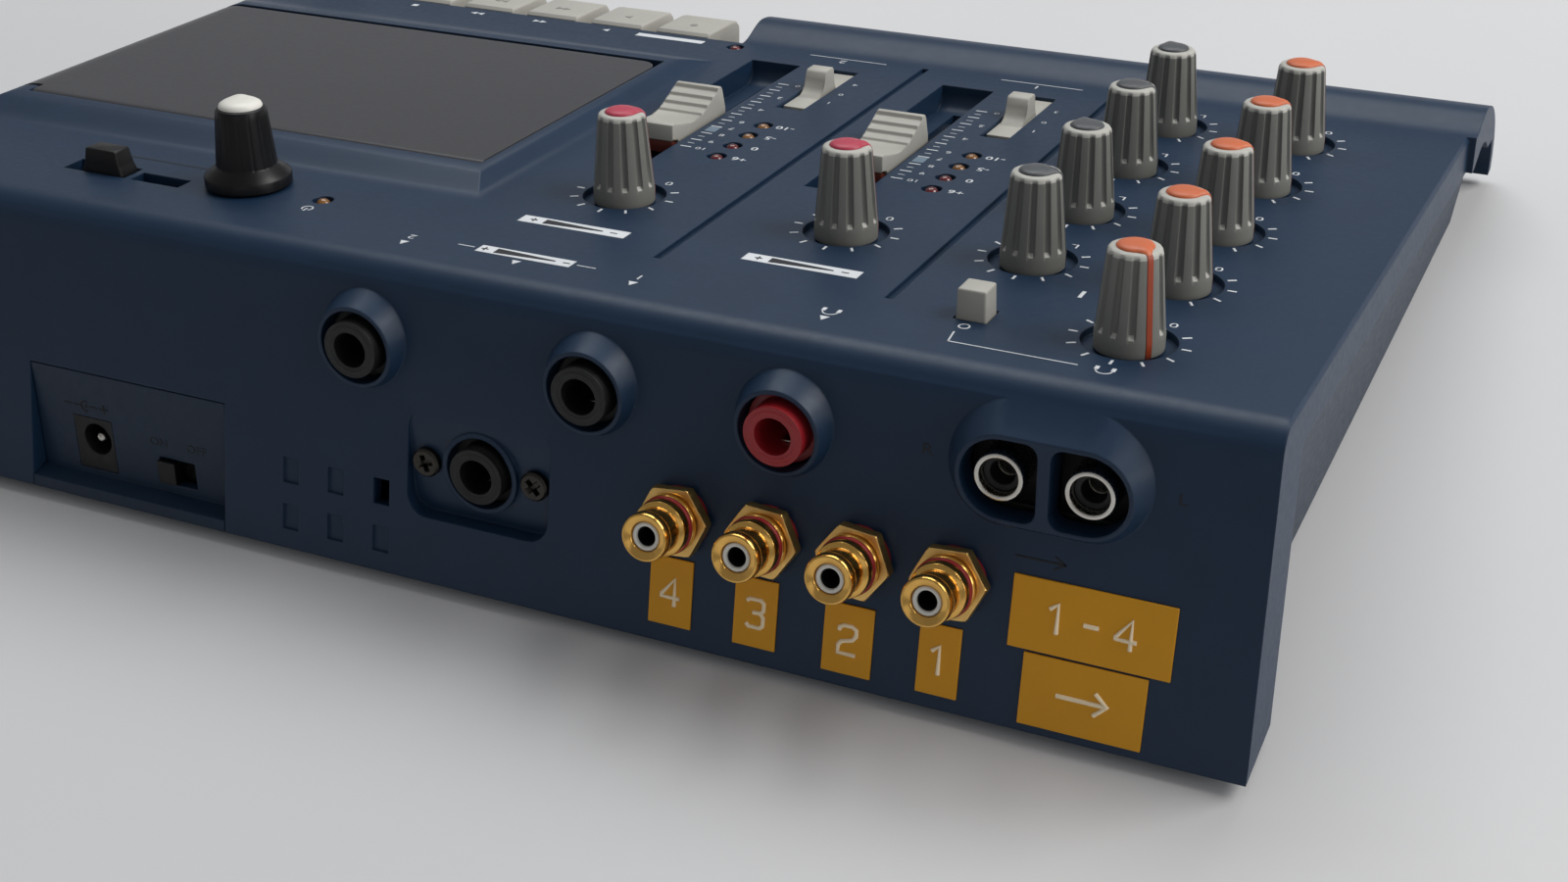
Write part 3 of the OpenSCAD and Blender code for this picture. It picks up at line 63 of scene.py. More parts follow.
def on_boss(x, v, n):
    """Frame on a rim across v: x to the viewer's right, y along n, z outward."""
    return Matrix(((-1, 0, 0, x), (0, 0, 1, v), (0, 1, 0, n), (0, 0, 0, 1)))


# ---- Camera and light ----------------------------------------------------------------------
camera = bpy.data.objects.new("camera", bpy.data.cameras.new("camera"))
scene.collection.objects.link(camera)
camera.location = (-0.203102805, 0.326315013, 0.255982356)
camera.rotation_mode = "QUATERNION"
camera.rotation_quaternion = (-0.171529, -0.137824, 0.422162, 0.87941)
camera.data.sensor_width = 36
camera.data.lens = 51.202
camera.data.clip_start = 0.01
scene.camera = camera
scene.view_settings.view_transform = "Standard"


def lamp(name, place, aim, size, power, color):
    """Soft rectangular studio light aimed at a point."""
    light = bpy.data.lights.new(name, "AREA")
    light.shape = "RECTANGLE"
    light.size, light.size_y = size
    light.energy = power
    light.color = color
    obj = bpy.data.objects.new(name, light)
    scene.collection.objects.link(obj)
    obj.location = place
    obj.rotation_euler = (Vector(aim) - Vector(place)).to_track_quat("-Z", "Y").to_euler()
    return obj


lamp("key_light", (-1.1, -0.6, 1.1), (0, 0, 0.03), (1.0, 0.8), 17, (1.0, 0.98, 0.95))
lamp("top_light", (0.3, -0.9, 1.25), (0, 0, 0.03), (1.2, 0.7), 11, (0.95, 0.98, 1.0))
lamp("side_light", (-1.5, 0.1, 0.45), (0, 0, 0.03), (0.7, 0.5), 3.4, (1.0, 1.0, 1.0))
lamp("rear_fill", (-0.5, 1.5, 0.7), (0, 0, 0.03), (0.9, 0.5), 0.5, (1.0, 1.0, 1.0))


# ---- Materials -----------------------------------------------------------------------------
def srgb(r, g, b):
    """Linear colour of 0-255 sRGB values."""
    def linear(c):
        c /= 255
        return c / 12.92 if c <= 0.04045 else ((c + 0.055) / 1.055) ** 2.4
    return (linear(r), linear(g), linear(b), 1)


def shade(color, k):
    return tuple(min(1.0, c * k) for c in color[:3]) + (1,)


class Nodes:
    """Short way to add and link shader nodes."""

    def __init__(self, name):
        self.material = bpy.data.materials.new(name)
        self.material.use_nodes = True
        self.tree = self.material.node_tree
        self.shader = self.tree.nodes["Principled BSDF"]
        self.where = self.add("ShaderNodeTexCoord").outputs["Object"]

    def add(self, kind, **inputs):
        node = self.tree.nodes.new(kind)
        for key, value in inputs.items():
            numbered = key[0] == "i" and key[1:].isdigit()
            socket = node.inputs[int(key[1:])] if numbered else node.inputs[key]
            if isinstance(value, bpy.types.NodeSocket):
                self.tree.links.new(value, socket)
            else:
                socket.default_value = value
        return node

    def link(self, a, b):
        self.tree.links.new(a, b)

    def noise(self, size, detail=2.0, rough=0.5, stretch=None):
        """Noise whose features are about size millimetres."""
        where = self.where
        if stretch:
            where = self.add("ShaderNodeMapping", Vector=where, Scale=stretch).outputs[0]
        node = self.add("ShaderNodeTexNoise", Vector=where, Scale=1000 / size, Detail=detail, Roughness=rough)
        return node.outputs["Fac"]

    def spread(self, value, low, high, start=0.3, end=0.7):
        """Maps a noise onto a range."""
        node = self.add("ShaderNodeMapRange", i0=value)
        node.inputs[1].default_value, node.inputs[2].default_value = start, end
        node.inputs[3].default_value, node.inputs[4].default_value = low, high
        return node.outputs[0]

    def mix(self, factor, a, b):
        node = self.tree.nodes.new("ShaderNodeMix")
        node.data_type = "RGBA"
        for socket, value in ((node.inputs[0], factor), (node.inputs[6], a), (node.inputs[7], b)):
            if isinstance(value, bpy.types.NodeSocket):
                self.link(value, socket)
            else:
                socket.default_value = value
        return node.outputs[2]


def moulded(name, color, rough=0.45, grain=0.25, bump=0.12, vary=0.05, edge=1.0, radius=0.35, coat=0.0,
            specular=0.5, uneven=1.0):
    """Moulded plastic: fine grain, faint mottling, softened edges painted lighter, partly as wear and partly
    as painted highlight.
    """
    m = Nodes(name)
    shader = m.shader
    soft = m.add("ShaderNodeBevel", Radius=radius * 0.001)
    soft.samples = 4
    mottle = m.noise(9.0, 3.0)
    fine = m.noise(grain, 2.0, 0.6)
    base = m.mix(m.spread(mottle, 0.0, 1.0), shade(color, 1 - vary), shade(color, 1 + vary))
    true = m.add("ShaderNodeNewGeometry").outputs["Normal"]
    facing = m.add("ShaderNodeVectorMath", i0=soft.outputs[0], i1=true)
    facing.operation = "DOT_PRODUCT"
    # Edges, found where the bevel normal turns from the true normal, get a lighter colour: partly wear,
    # partly painted highlight
    wear_and_highlight = m.spread(facing.outputs["Value"], 0.55, 0.0, 0.75, 0.98)
    base = m.mix(wear_and_highlight, base, shade(color, edge)) if edge != 1.0 else base
    m.link(base, shader.inputs["Base Color"])
    gloss = m.spread(m.noise(1.4, 3.0), rough - 0.05 * uneven, rough + 0.07 * uneven)
    m.link(gloss, shader.inputs["Roughness"])
    rise = m.add("ShaderNodeBump", Height=fine, Normal=soft.outputs[0])
    rise.inputs["Strength"].default_value = bump
    rise.inputs["Distance"].default_value = 0.00004
    m.link(rise.outputs[0], shader.inputs["Normal"])
    shader.inputs["Coat Weight"].default_value = coat
    shader.inputs["Coat Roughness"].default_value = 0.12
    shader.inputs["Specular IOR Level"].default_value = specular
    return m.material


def metal(name, color, rough=0.22, lines=(1, 1, 1), bump=0.05, radius=0.15):
    """Plated or turned metal with fine lines and uneven polish."""
    m = Nodes(name)
    shader = m.shader
    soft = m.add("ShaderNodeBevel", Radius=radius * 0.001)
    soft.samples = 4
    streak = m.noise(0.35, 3.0, 0.6, lines)
    base = m.mix(m.spread(m.noise(2.5, 3.0), 0, 1), shade(color, 0.9), shade(color, 1.06))
    m.link(base, shader.inputs["Base Color"])
    m.link(m.spread(streak, rough - 0.06, rough + 0.1), shader.inputs["Roughness"])
    shader.inputs["Metallic"].default_value = 1.0
    rise = m.add("ShaderNodeBump", Height=streak, Normal=soft.outputs[0])
    rise.inputs["Strength"].default_value = bump
    rise.inputs["Distance"].default_value = 0.00003
    m.link(rise.outputs[0], shader.inputs["Normal"])
    return m.material


def lens(name, color, deep):
    """Clear tinted plastic, darker towards its rim."""
    m = Nodes(name)
    shader = m.shader
    rim = m.add("ShaderNodeLayerWeight", Blend=0.35).outputs["Facing"]
    base = m.mix(rim, color, deep)
    base = m.mix(m.spread(m.noise(0.8, 2.0), 0.0, 0.35), base, deep)
    m.link(base, shader.inputs["Base Color"])
    m.link(m.spread(m.noise(1.0), 0.1, 0.2), shader.inputs["Roughness"])
    shader.inputs["Coat Weight"].default_value = 0.3
    shader.inputs["Subsurface Weight"].default_value = 0.25
    shader.inputs["Subsurface Radius"].default_value = (0.001, 0.0006, 0.0003)
    return m.material


BODY = srgb(23, 45, 69)
shell = moulded("shell_plastic", BODY, 0.42, 0.3, 0.14, 0.05, 1.35, 0.45, specular=0.33, uneven=0.5)
base_plastic = moulded("base_plastic", srgb(22, 41, 62), 0.48, 0.4, 0.2, 0.06, 1.2, 0.4, specular=0.36)
lid_plastic = moulded("lid_plastic", srgb(58, 58, 62), 0.36, 0.35, 0.02, 0.02, 1.2, 0.3, specular=0.42,
                      uneven=0.25)
key_plastic = moulded("key_plastic", srgb(174, 172, 164), 0.5, 0.3, 0.2, 0.03, 1.12, 0.3)
key_mark = moulded("key_mark", srgb(138, 137, 131), 0.55, 0.3, 0.1, 0.03)
knob_plastic = moulded("knob_plastic", srgb(122, 122, 117), 0.5, 0.25, 0.2, 0.04, 1.15, 0.2)
# Lighter copy of the knob grey: painted highlight for knob rims and flute feet
knob_highlight = moulded("knob_highlight", srgb(180, 179, 172), 0.5, 0.25, 0.15, 0.03)
orange = moulded("orange_plastic", srgb(200, 102, 60), 0.42, 0.3, 0.12, 0.05)
# Darker copy of the orange cap plastic: painted shade for the stripe on the cap's shaded side
stripe_orange_shaded = moulded("orange_stripe_painted_shade", srgb(158, 62, 28), 0.45, 0.3, 0.12, 0.05)
dark_cap = moulded("dark_plastic", srgb(74, 77, 80), 0.42, 0.3, 0.12, 0.05)
crimson = moulded("crimson_plastic", srgb(176, 54, 76), 0.42, 0.3, 0.12, 0.05)
black = moulded("black_plastic", srgb(13, 13, 15), 0.36, 0.3, 0.15, 0.08, 1.5, 0.3, specular=0.3)
deep_black = moulded("inner_black", srgb(13, 13, 15), 0.55, 0.3, 0.15, 0.08)
white_plastic = moulded("white_plastic", srgb(226, 224, 216), 0.4, 0.3, 0.1, 0.02)
red_plastic = moulded("red_plastic", srgb(150, 28, 36), 0.4, 0.3, 0.1, 0.05, 1.3, 0.25)
carrier_red = moulded("carrier_plastic", srgb(104, 44, 30), 0.45, 0.3, 0.1, 0.05)
print_white = moulded("print_white", srgb(214, 218, 222), 0.6, 0.15, 0.1, 0.06)
print_grey = moulded("print_grey", srgb(104, 122, 138), 0.6, 0.15, 0.1, 0.06)
print_black = moulded("print_black", srgb(12, 16, 24), 0.55, 0.15, 0.1, 0.06)
tape = moulded("label_tape", srgb(214, 150, 14), 0.36, 1.2, 0.02, 0.02, 1.15, 0.15, specular=0.35)
tape_white = moulded("label_stroke", srgb(252, 232, 194), 0.4, 0.5, 0.1, 0.03)
rubber = moulded("rubber", srgb(22, 22, 22), 0.8, 0.3, 0.4, 0.1)
board = moulded("board_laminate", srgb(34, 92, 62), 0.35, 1.5, 0.1, 0.12)
dark_board = moulded("dark_laminate", srgb(18, 26, 22), 0.5, 1.5, 0.1, 0.12)
amber_lens = lens("amber_lens", srgb(150, 102, 50), srgb(72, 44, 18))
red_lens = lens("red_lens", srgb(116, 32, 36), srgb(48, 12, 14))
steel = metal("zinc_steel", srgb(168, 168, 170), 0.38, (1, 6, 1), 0.1)
bright_steel = metal("bright_steel", srgb(196, 196, 198), 0.2, (1, 1, 8))
head_metal = metal("head_metal", srgb(205, 205, 207), 0.14)
nickel = metal("nickel_plate", srgb(206, 202, 194), 0.2)
gold = metal("gold_plate", srgb(232, 182, 98), 0.17, (1, 1, 1), 0.04, 0.2)
gold_flat = metal("gold_faces", srgb(240, 196, 118), 0.34, (1, 1, 1), 0.06, 0.15)
brass = metal("brass", srgb(204, 168, 98), 0.25)
screw_metal = metal("screw_metal", srgb(66, 64, 60), 0.34, (1, 1, 1), 0.1)


# ---- Mesh tools, in millimetres ------------------------------------------------------------
def put(bm, verts, faces, place=Matrix()):
    """Adds points and faces at a place."""
    made = [bm.verts.new(place @ Vector(p)) for p in verts]
    return [bm.faces.new([made[i] for i in f]) for f in faces]


def loft(bm, rings, place=Matrix(), closed=False):
    """Skin over rings of equal count, capped at both ends, or closed on itself."""
    count = len(rings[0])
    verts = [p for ring in rings for p in ring]
    faces = []
    last = len(rings) if closed else len(rings) - 1
    for j in range(last):
        a, b = j * count, (j + 1) % len(rings) * count
        faces += [(a + i, a + (i + 1) % count, b + (i + 1) % count, b + i) for i in range(count)]
    if not closed:
        faces += [tuple(reversed(range(count))), tuple(range(len(verts) - count, len(verts)))]
    return put(bm, verts, faces, place)


def circle(r, z, steps):
    turns = [2 * math.pi * i / steps for i in range(steps)]
    return [(r * math.cos(a), r * math.sin(a), z) for a in turns]


def lathe(bm, profile, place=Matrix(), steps=48, closed=False):
    """Turned form from (radius, height) pairs."""
    return loft(bm, [circle(r, z, steps) for r, z in profile], place, closed)


def prism(bm, outline, low, high, place=Matrix()):
    """Straight-sided form over an outline."""
    return loft(bm, [[(x, y, low) for x, y in outline], [(x, y, high) for x, y in outline]], place)


def join(bm, part, place=Matrix()):
    """Adds one gathered form to another at a place."""
    mesh = bpy.data.meshes.new("joined")
    part.to_mesh(mesh)
    part.free()
    mesh.transform(place)
    bm.from_mesh(mesh)
    bpy.data.meshes.remove(mesh)


def soften(bm, width, steps=2, keep=None):
    """Rounds the edges that keep accepts, or all."""
    edges = [e for e in bm.edges if keep is None or keep(e)]
    bmesh.ops.bevel(bm, geom=edges, offset=width, segments=steps, profile=0.5, affect="EDGES",
                    clamp_overlap=True)


def block(bm, x, y, z, round_by=0.0, place=Matrix(), steps=2):
    """Box between limits with rounded edges."""
    part = bmesh.new()
    prism(part, [(x[0], y[0]), (x[1], y[0]), (x[1], y[1]), (x[0], y[1])], z[0], z[1])
    if round_by:
        soften(part, round_by, steps)
    join(bm, part, place)


def extruded(outline, width, round_by, place, bm, steps=2, keep=None):
    """A side outline in (y, z), run across x and rounded at its two sides."""
    part = bmesh.new()
    loft(part, [[(-width / 2, y, z) for y, z in outline], [(width / 2, y, z) for y, z in outline]])
    side = keep or (lambda e: abs(e.verts[0].co.x - e.verts[1].co.x) < 1e-4)
    if round_by:
        soften(part, round_by, steps, side)
    join(bm, part, place)


def piece(name, bm, material, body, slot, place=PANEL, angle=38, stands_for=(), smooth=True):
    """Makes one visible piece of the gathered form."""
    bmesh.ops.recalc_face_normals(bm, faces=bm.faces)
    mesh = bpy.data.meshes.new(name)
    bm.to_mesh(mesh)
    bm.free()
    mesh.transform(place)
    mesh.polygons.foreach_set("use_smooth", [smooth] * len(mesh.polygons))
    if smooth:
        mesh.set_sharp_from_angle(angle=math.radians(angle))
    for m in material if isinstance(material, (list, tuple)) else [material]:
        mesh.materials.append(m)
    obj = bpy.data.objects.new(name, mesh)
    scene.collection.objects.link(obj)
    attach(obj, body)
    if stands_for:
        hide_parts(*stands_for)
    return obj


letter_meshes = {}


def letters(bm, text, size, place, wide=1.3, thick=0.05, bold=0.0):
    """Flat lettering, centred, standing thick above its surface."""
    key = (text, size, bold)
    if key not in letter_meshes:
        curve = bpy.data.curves.new("letters", "FONT")
        curve.body, curve.size, curve.resolution_u, curve.offset = text, size, 3, bold
        curve.align_x, curve.align_y = "CENTER", "CENTER"
        curve.extrude = 0.5
        obj = bpy.data.objects.new("letters", curve)
        scene.collection.objects.link(obj)
        bpy.context.view_layer.update()
        graph = bpy.context.evaluated_depsgraph_get()
        letter_meshes[key] = bpy.data.meshes.new_from_object(obj.evaluated_get(graph))
        bpy.data.objects.remove(obj)
    mesh = letter_meshes[key].copy()
    mesh.transform(place @ Matrix.Diagonal((wide, 1, 2 * thick, 1)))
    bm.from_mesh(mesh)
    bpy.data.meshes.remove(mesh)


def bar(bm, x, y, place=Matrix(), thick=0.05):
    """Printed bar."""
    prism(bm, [(x[0], y[0]), (x[1], y[0]), (x[1], y[1]), (x[0], y[1])], -thick, thick, place)


def line(bm, points, width, place=Matrix(), thick=0.05):
    """Printed line through points."""
    for a, b in zip(points, points[1:]):
        a, b = Vector(a), Vector(b)
        d = (b - a).normalized() * width / 2
        s = Vector((-d.y, d.x))
        prism(bm, [tuple(p) for p in (a - d - s, b + d - s, b + d + s, a - d + s)], -thick, thick, place)


def ring(bm, r, width, place=Matrix(), start=0, end=360, thick=0.05, steps=24):
    """Printed ring or arc."""
    a = [math.radians(start + (end - start) * i / steps) for i in range(steps + 1)]
    outer = [((r + width / 2) * math.cos(t), (r + width / 2) * math.sin(t)) for t in a]
    inner = [((r - width / 2) * math.cos(t), (r - width / 2) * math.sin(t)) for t in a]
    for i in range(steps):
        prism(bm, [inner[i], outer[i], outer[i + 1], inner[i + 1]], -thick, thick, place)


# ---- Finishes of the CAD nodes -------------------------------------------------------------
def smoothing():
    """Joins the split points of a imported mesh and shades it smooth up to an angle."""
    group = bpy.data.node_groups.new("smooth_faces", "GeometryNodeTree")
    group.interface.new_socket("Geometry", in_out="INPUT", socket_type="NodeSocketGeometry")
    group.interface.new_socket("Geometry", in_out="OUTPUT", socket_type="NodeSocketGeometry")
    add, link = group.nodes.new, group.links.new
    start, end = add("NodeGroupInput"), add("NodeGroupOutput")
    bare = add("GeometryNodeRemoveAttribute")
    bare.inputs["Name"].default_value = "custom_normal"
    weld = add("GeometryNodeMergeByDistance")
    weld.inputs["Distance"].default_value = 0.000002
    angle = add("GeometryNodeInputMeshEdgeAngle")
    sharp = add("FunctionNodeCompare")
    sharp.data_type, sharp.operation = "FLOAT", "GREATER_THAN"
    sharp.inputs[1].default_value = math.radians(24)
    faces, edges = add("GeometryNodeSetShadeSmooth"), add("GeometryNodeSetShadeSmooth")
    faces.domain, edges.domain = "FACE", "EDGE"
    edges.inputs["Shade Smooth"].default_value = False
    link(start.outputs[0], bare.inputs[0])
    link(bare.outputs[0], weld.inputs[0])
    link(weld.outputs[0], faces.inputs[0])
    link(faces.outputs[0], edges.inputs[0])
    link(angle.outputs[0], sharp.inputs[0])
    link(sharp.outputs[0], edges.inputs["Selection"])
    link(edges.outputs[0], end.inputs[0])
    return group


smooth_faces = smoothing()
FINISH = {
    "top_shell": shell, "bottom_shell": base_plastic, "cassette_lid": lid_plastic,
    "deck_chassis": steel, "head_plate": bright_steel, "tape_heads": head_metal, "pinch_roller": rubber,
    "capstan_flywheel": bright_steel, "motor": steel, "motor_pulley": brass, "drive_belt": rubber,
    "supply_spindle": deep_black, "takeup_spindle": deep_black, "key_shaft": bright_steel,
    "fader_bodies": steel, "switch_bodies": steel, "pot_bodies": steel, "counter_frame": black,
    "counter_wheels": black, "dc_jack": deep_black, "main_board": board, "jack_board": dark_board,
    "input_jacks": deep_black, "phones_jack": red_plastic, "amber_lamps": amber_lens, "red_lamps": red_lens,
    "rubber_feet": rubber, "case_screws": screw_metal, "tape_out_nuts": gold, "tape_out_washers": red_plastic,
    "tape_out_inserts": white_plastic, "label_tags": tape, "power_switch": black,
}
for name, obj in nodes.items():
    finish = FINISH.get(name, key_plastic)
    obj.data.materials.clear()
    obj.data.materials.append(finish)
    modifier = obj.modifiers.new("smooth_faces", "NODES")
    modifier.node_group = smooth_faces

# ---- Knobs ---------------------------------------------------------------------------------
FLUTES = 12     # places round a knob: eleven flutes and the pointer
# Outer line of a knob as (height, radius)
KNOB_LINE = [(-1.1, 5.5), (-0.9, 5.68), (1.5, 5.7), (2.3, 5.62), (2.65, 5.58), (3.0, 5.54), (6.0, 5.27),
             (10.0, 4.91), (13.5, 4.6), (14.7, 4.49), (15.1, 4.44), (15.5, 4.32), (15.8, 4.1), (16.0, 3.7),
             (16.0, 3.2)]
# Depth of a flute at those heights
FLUTE_DEPTH = {2.3: 0.0, 2.65: 0.3, 3.0: 0.62, 6.0: 0.66, 10.0: 0.66, 13.5: 0.64, 14.7: 0.6, 15.1: 0.4,
               15.5: 0.08}
# Points across one place, in degrees, and half the width of a flute
FLUTE_STEPS = (-15, -9.4, -7.2, -6.2, -4.4, -2.3, 0, 2.3, 4.4, 6.2, 7.2, 9.4)
FLUTE_HALF = 7.0
HIGHLIGHT_DOT_STEP = 4        # the painted highlight dot at a flute's foot reaches this far to each side
HIGHLIGHT_RIM_Z = 15.1        # the rim painted lighter as a highlight begins here
# Outline of the cap's dome as (share of its reach, height)
CAP_DOME = ((1.0, 15.9), (1.0, 16.12), (0.93, 16.38), (0.78, 16.56), (0.55, 16.68), (0.28, 16.74),
            (0.04, 16.75))


def drawn_out(off, reach, point, half, power):
    """Radius of a round cap whose edge is drawn out into a pointer at off = 0."""
    if abs(off) >= half:
        return reach
    return reach + point * (0.5 + 0.5 * math.cos(math.pi * off / half)) ** power


def fluted_knob(name, x, v, turn, cap, cap_slot, body):
    """Tapered knob with eleven flutes, its rim and flute feet painted lighter as highlights, and a coloured
    cap with its pointer stripe, the orange stripe darker as painted shade.
    """
    place = at(x, v, 0, turn)
    bm = bmesh.new()
    rings = []
    for z, r in KNOB_LINE:
        depth = FLUTE_DEPTH.get(z, 0.0)
        points = []
        for k in range(FLUTES):
            for step in FLUTE_STEPS:
                a = math.radians(90 + k * 360 / FLUTES + step)
                sink = depth * math.sqrt(max(0.0, 1 - (step / FLUTE_HALF) ** 2)) if k else 0.0
                points.append(((r - sink) * math.cos(a), (r - sink) * math.sin(a), z))
        rings.append(points)
    made = loft(bm, rings)
    count = len(rings[0])
    for i, face in enumerate(made[:-2]):
        level, place_in = divmod(i, count)
        z = KNOB_LINE[level][0]
        step = FLUTE_STEPS[place_in % len(FLUTE_STEPS)]
        fluted = place_in // len(FLUTE_STEPS) and abs(step + 1) < HIGHLIGHT_DOT_STEP
        # Rim faces and flute-foot faces take the lighter grey as painted highlights
        if z >= HIGHLIGHT_RIM_Z or (fluted and 2.3 <= z < 3.0):
            face.material_index = 1
    made[-1].material_index = 1
    lathe(bm, [(3.0, -11.8), (3.0, -1.0)], steps=32)
    bmesh.ops.transform(bm, matrix=place, verts=bm.verts)
    piece(name, bm, (knob_plastic, knob_highlight), body, "knob", angle=30,
          stands_for=(name.replace("_grip", ""),))
    # Cap: a low dome drawn out into the pointer
    bm = bmesh.new()
    rings = []
    for s, z in CAP_DOME:
        points = []
        for i in range(72):
            off = (i * 5 + 180) % 360 - 180
            reach = drawn_out(off, 3.05, 1.05, 36, 1.6)
            a = math.radians(90 + off)
            drop = max(0.0, reach * s - 3.3) * 0.35
            points.append((reach * s * math.cos(a), reach * s * math.sin(a), z - drop))
        rings.append(points)
    loft(bm, rings)
    stripe = [(z, r + 0.03) for z, r in reversed(KNOB_LINE[:-1])]
    rings = []
    for z, r in [(16.2, 2.8)] + stripe:
        inward = 0.5 if z < 15.6 else 0.15
        low = z - (0.35 if z >= 15.6 else 0.0)
        rings.append([(-0.54, r, z), (0.54, r, z), (0.5, r - inward, low), (-0.5, r - inward, low)])
    for face in loft(bm, rings):
        face.material_index = 1
    bmesh.ops.transform(bm, matrix=place, verts=bm.verts)
    # Orange caps get their pointer stripe in the darker orange, which is painted shade; other caps keep their
    # own colour
    stripe_finish = stripe_orange_shaded if cap is orange else cap
    piece(name.replace("grip", "cap"), bm, (cap, stripe_finish), body, cap_slot, angle=50)


LEVEL_X, PAN_X = -113.0, -87.3
ROWS = [-26.7 - 26.8 * k for k in range(4)]
TRIM_X, TRIM_V, CHANNEL = -52.6, -25.8, 45.0
TURNS = ((106, 105), (106, -150), (107, 100), (105, -150))
for k, (level_turn, pan_turn) in enumerate(TURNS):
    fluted_knob(f"knob_level_{k + 1}_grip", LEVEL_X, ROWS[k], level_turn, orange, "orange_plastic",
                f"level_{k + 1}_knob")
    fluted_knob(f"knob_pan_{k + 1}_grip", PAN_X, ROWS[k], pan_turn, dark_cap, "dark_plastic",
                f"pan_{k + 1}_knob")
fluted_knob("knob_phones_grip", LEVEL_X, 0, 49, orange, "orange_plastic", "phones_knob")
for k in (1, 2):
    fluted_knob(f"knob_trim_{k}_grip", TRIM_X + (k - 1) * CHANNEL, TRIM_V, 121, crimson,
                "crimson_plastic", f"trim_{k}_knob")

# Pitch knob: a black grip on a broad skirt, with a white pointed cap
PITCH = at(59.5, -1.3, 0, -140)
bm = bmesh.new()
lathe(bm, [(7.95, 0.3), (8.12, 0.5), (8.15, 2.2), (8.0, 2.5), (6.1, 3.9), (5.75, 4.2)], PITCH, 64)
part = bmesh.new()
rings = []
for z, r in ((4.0, 5.72), (6.0, 5.56), (10.0, 5.2), (13.5, 4.88), (14.6, 4.76), (15.1, 4.55), (15.3, 4.1)):
    points = []
    for i in range(120):
        groove = 0.12 if i % 8 == 0 and z < 14 else 0
        a = math.radians(90 + i * 3)
        points.append(((r - groove) * math.cos(a), (r - groove) * math.sin(a), z))
    rings.append(points)
loft(part, rings)
join(bm, part, PITCH)
lathe(bm, [(3.0, -11.8), (3.0, 0.4)], PITCH, 32)
piece("knob_pitch_grip", bm, black, "pitch_knob", "black_plastic", angle=30,
      stands_for=("knob_pitch",))
bm = bmesh.new()
rings = []
PITCH_DOME = ((1.0, 15.0), (1.0, 15.45), (0.95, 15.9), (0.82, 16.25), (0.6, 16.5), (0.3, 16.62),
              (0.04, 16.65))
for s, z in PITCH_DOME:
    points = []
    for i in range(72):
        off = (i * 5 + 180) % 360 - 180
        reach = drawn_out(off, 4.05, 0.55, 40, 1.5)
        a = math.radians(90 + off)
        ridge = 0.25 * max(0.0, math.cos(math.radians(off))) ** 6 * s
        points.append((reach * s * math.cos(a), reach * s * math.sin(a), z + ridge))
    rings.append(points)
loft(bm, rings, PITCH)
piece("knob_pitch_cap", bm, white_plastic, "pitch_knob", "white_plastic", angle=60)

# ---- Faders and switches -------------------------------------------------------------------
FADER_X, FADER_V = -41.6, -66.45
RECORD_X, RECORD_V = -58.1, -99.8
MONO_X, MONO_V = -87.3, 0.3
CAP_TOP = 5.6
# Side outline of a fader's stepped cap as (v, n)
CAP_LINE = [(-13.05, -0.9), (-13.05, 0.7), (-11.9, CAP_TOP - 1.0), (-11.4, CAP_TOP - 0.25),
            (-10.9, CAP_TOP - 0.05),
            (-9.9, CAP_TOP - 0.15), (-9.65, CAP_TOP - 0.85), (-9.35, CAP_TOP - 1.0), (-7.5, CAP_TOP - 1.35),
            (-7.25, CAP_TOP - 1.95), (-6.95, CAP_TOP - 2.1), (-5.1, CAP_TOP - 2.35), (-4.85, CAP_TOP - 2.95),
            (-4.55, CAP_TOP - 3.1), (-2.7, CAP_TOP - 3.35), (-2.45, CAP_TOP - 3.8), (-2.15, CAP_TOP - 3.92),
            (-0.3, CAP_TOP - 4.1), (0.9, CAP_TOP - 4.0), (3.0, CAP_TOP - 3.8), (6.0, CAP_TOP - 3.35),
            (8.6, CAP_TOP - 2.2), (9.4, CAP_TOP - 2.05), (9.95, CAP_TOP - 2.3), (10.15, CAP_TOP - 2.9),
            (10.15, 0.15), (8.0, 0.15), (8.0, -0.9)]
for k in (1, 2):
    place = at(FADER_X + (k - 1) * CHANNEL, FADER_V)
    bm = bmesh.new()
    extruded(CAP_LINE, 9.9, 0.28, place, bm)
    piece(f"fader_grip_{k}", bm, key_plastic, f"fader_{k}", "key", angle=24, stands_for=(f"fader_cap_{k}",))
    bm = bmesh.new()
    block(bm, (-4.6, 4.6), (-12.4, 9.9), (-2.6, 0.1), 0.25, place)
    block(bm, (-3, 3), (-5, 5), (-4.4, -2.5), 0.2, place)
    block(bm, (-0.8, 0.8), (-3, 3), (-12, -4.3), 0.1, place)
    piece(f"fader_carrier_{k}", bm, carrier_red, f"fader_{k}", "red_plastic")
    # Record switch: a flat slider with a grip that rises out of it in a curve
    place = at(RECORD_X + (k - 1) * CHANNEL, RECORD_V)
    bm = bmesh.new()
    block(bm, (-2.8, 2.8), (-14.1, 11.2), (-2.9, -0.6), 0.15, place)
    block(bm, (-4, 4), (-14.1, 11.2), (-4, -2.8), 0.1, place)
    block(bm, (-1.2, 1.2), (-2.3, 0.7), (-10.5, -3.9), 0.1, place)
    grip = [(-4.6, -0.7), (-3.6, 0.2), (-3.35, 1.5), (-3.2, 3.9), (-2.7, 4.45), (0.3, 4.45), (0.9, 4.0),
            (1.3, 2.6), (1.9, 1.1), (3.0, 0.1), (4.4, -0.45), (4.6, -0.7)]
    extruded(grip, 4.6, 0.3, place, bm)
    piece(f"record_slider_{k}", bm, key_plastic, f"record_switch_{k}", "key", angle=40,
          stands_for=(f"rec_switch_{k}",))

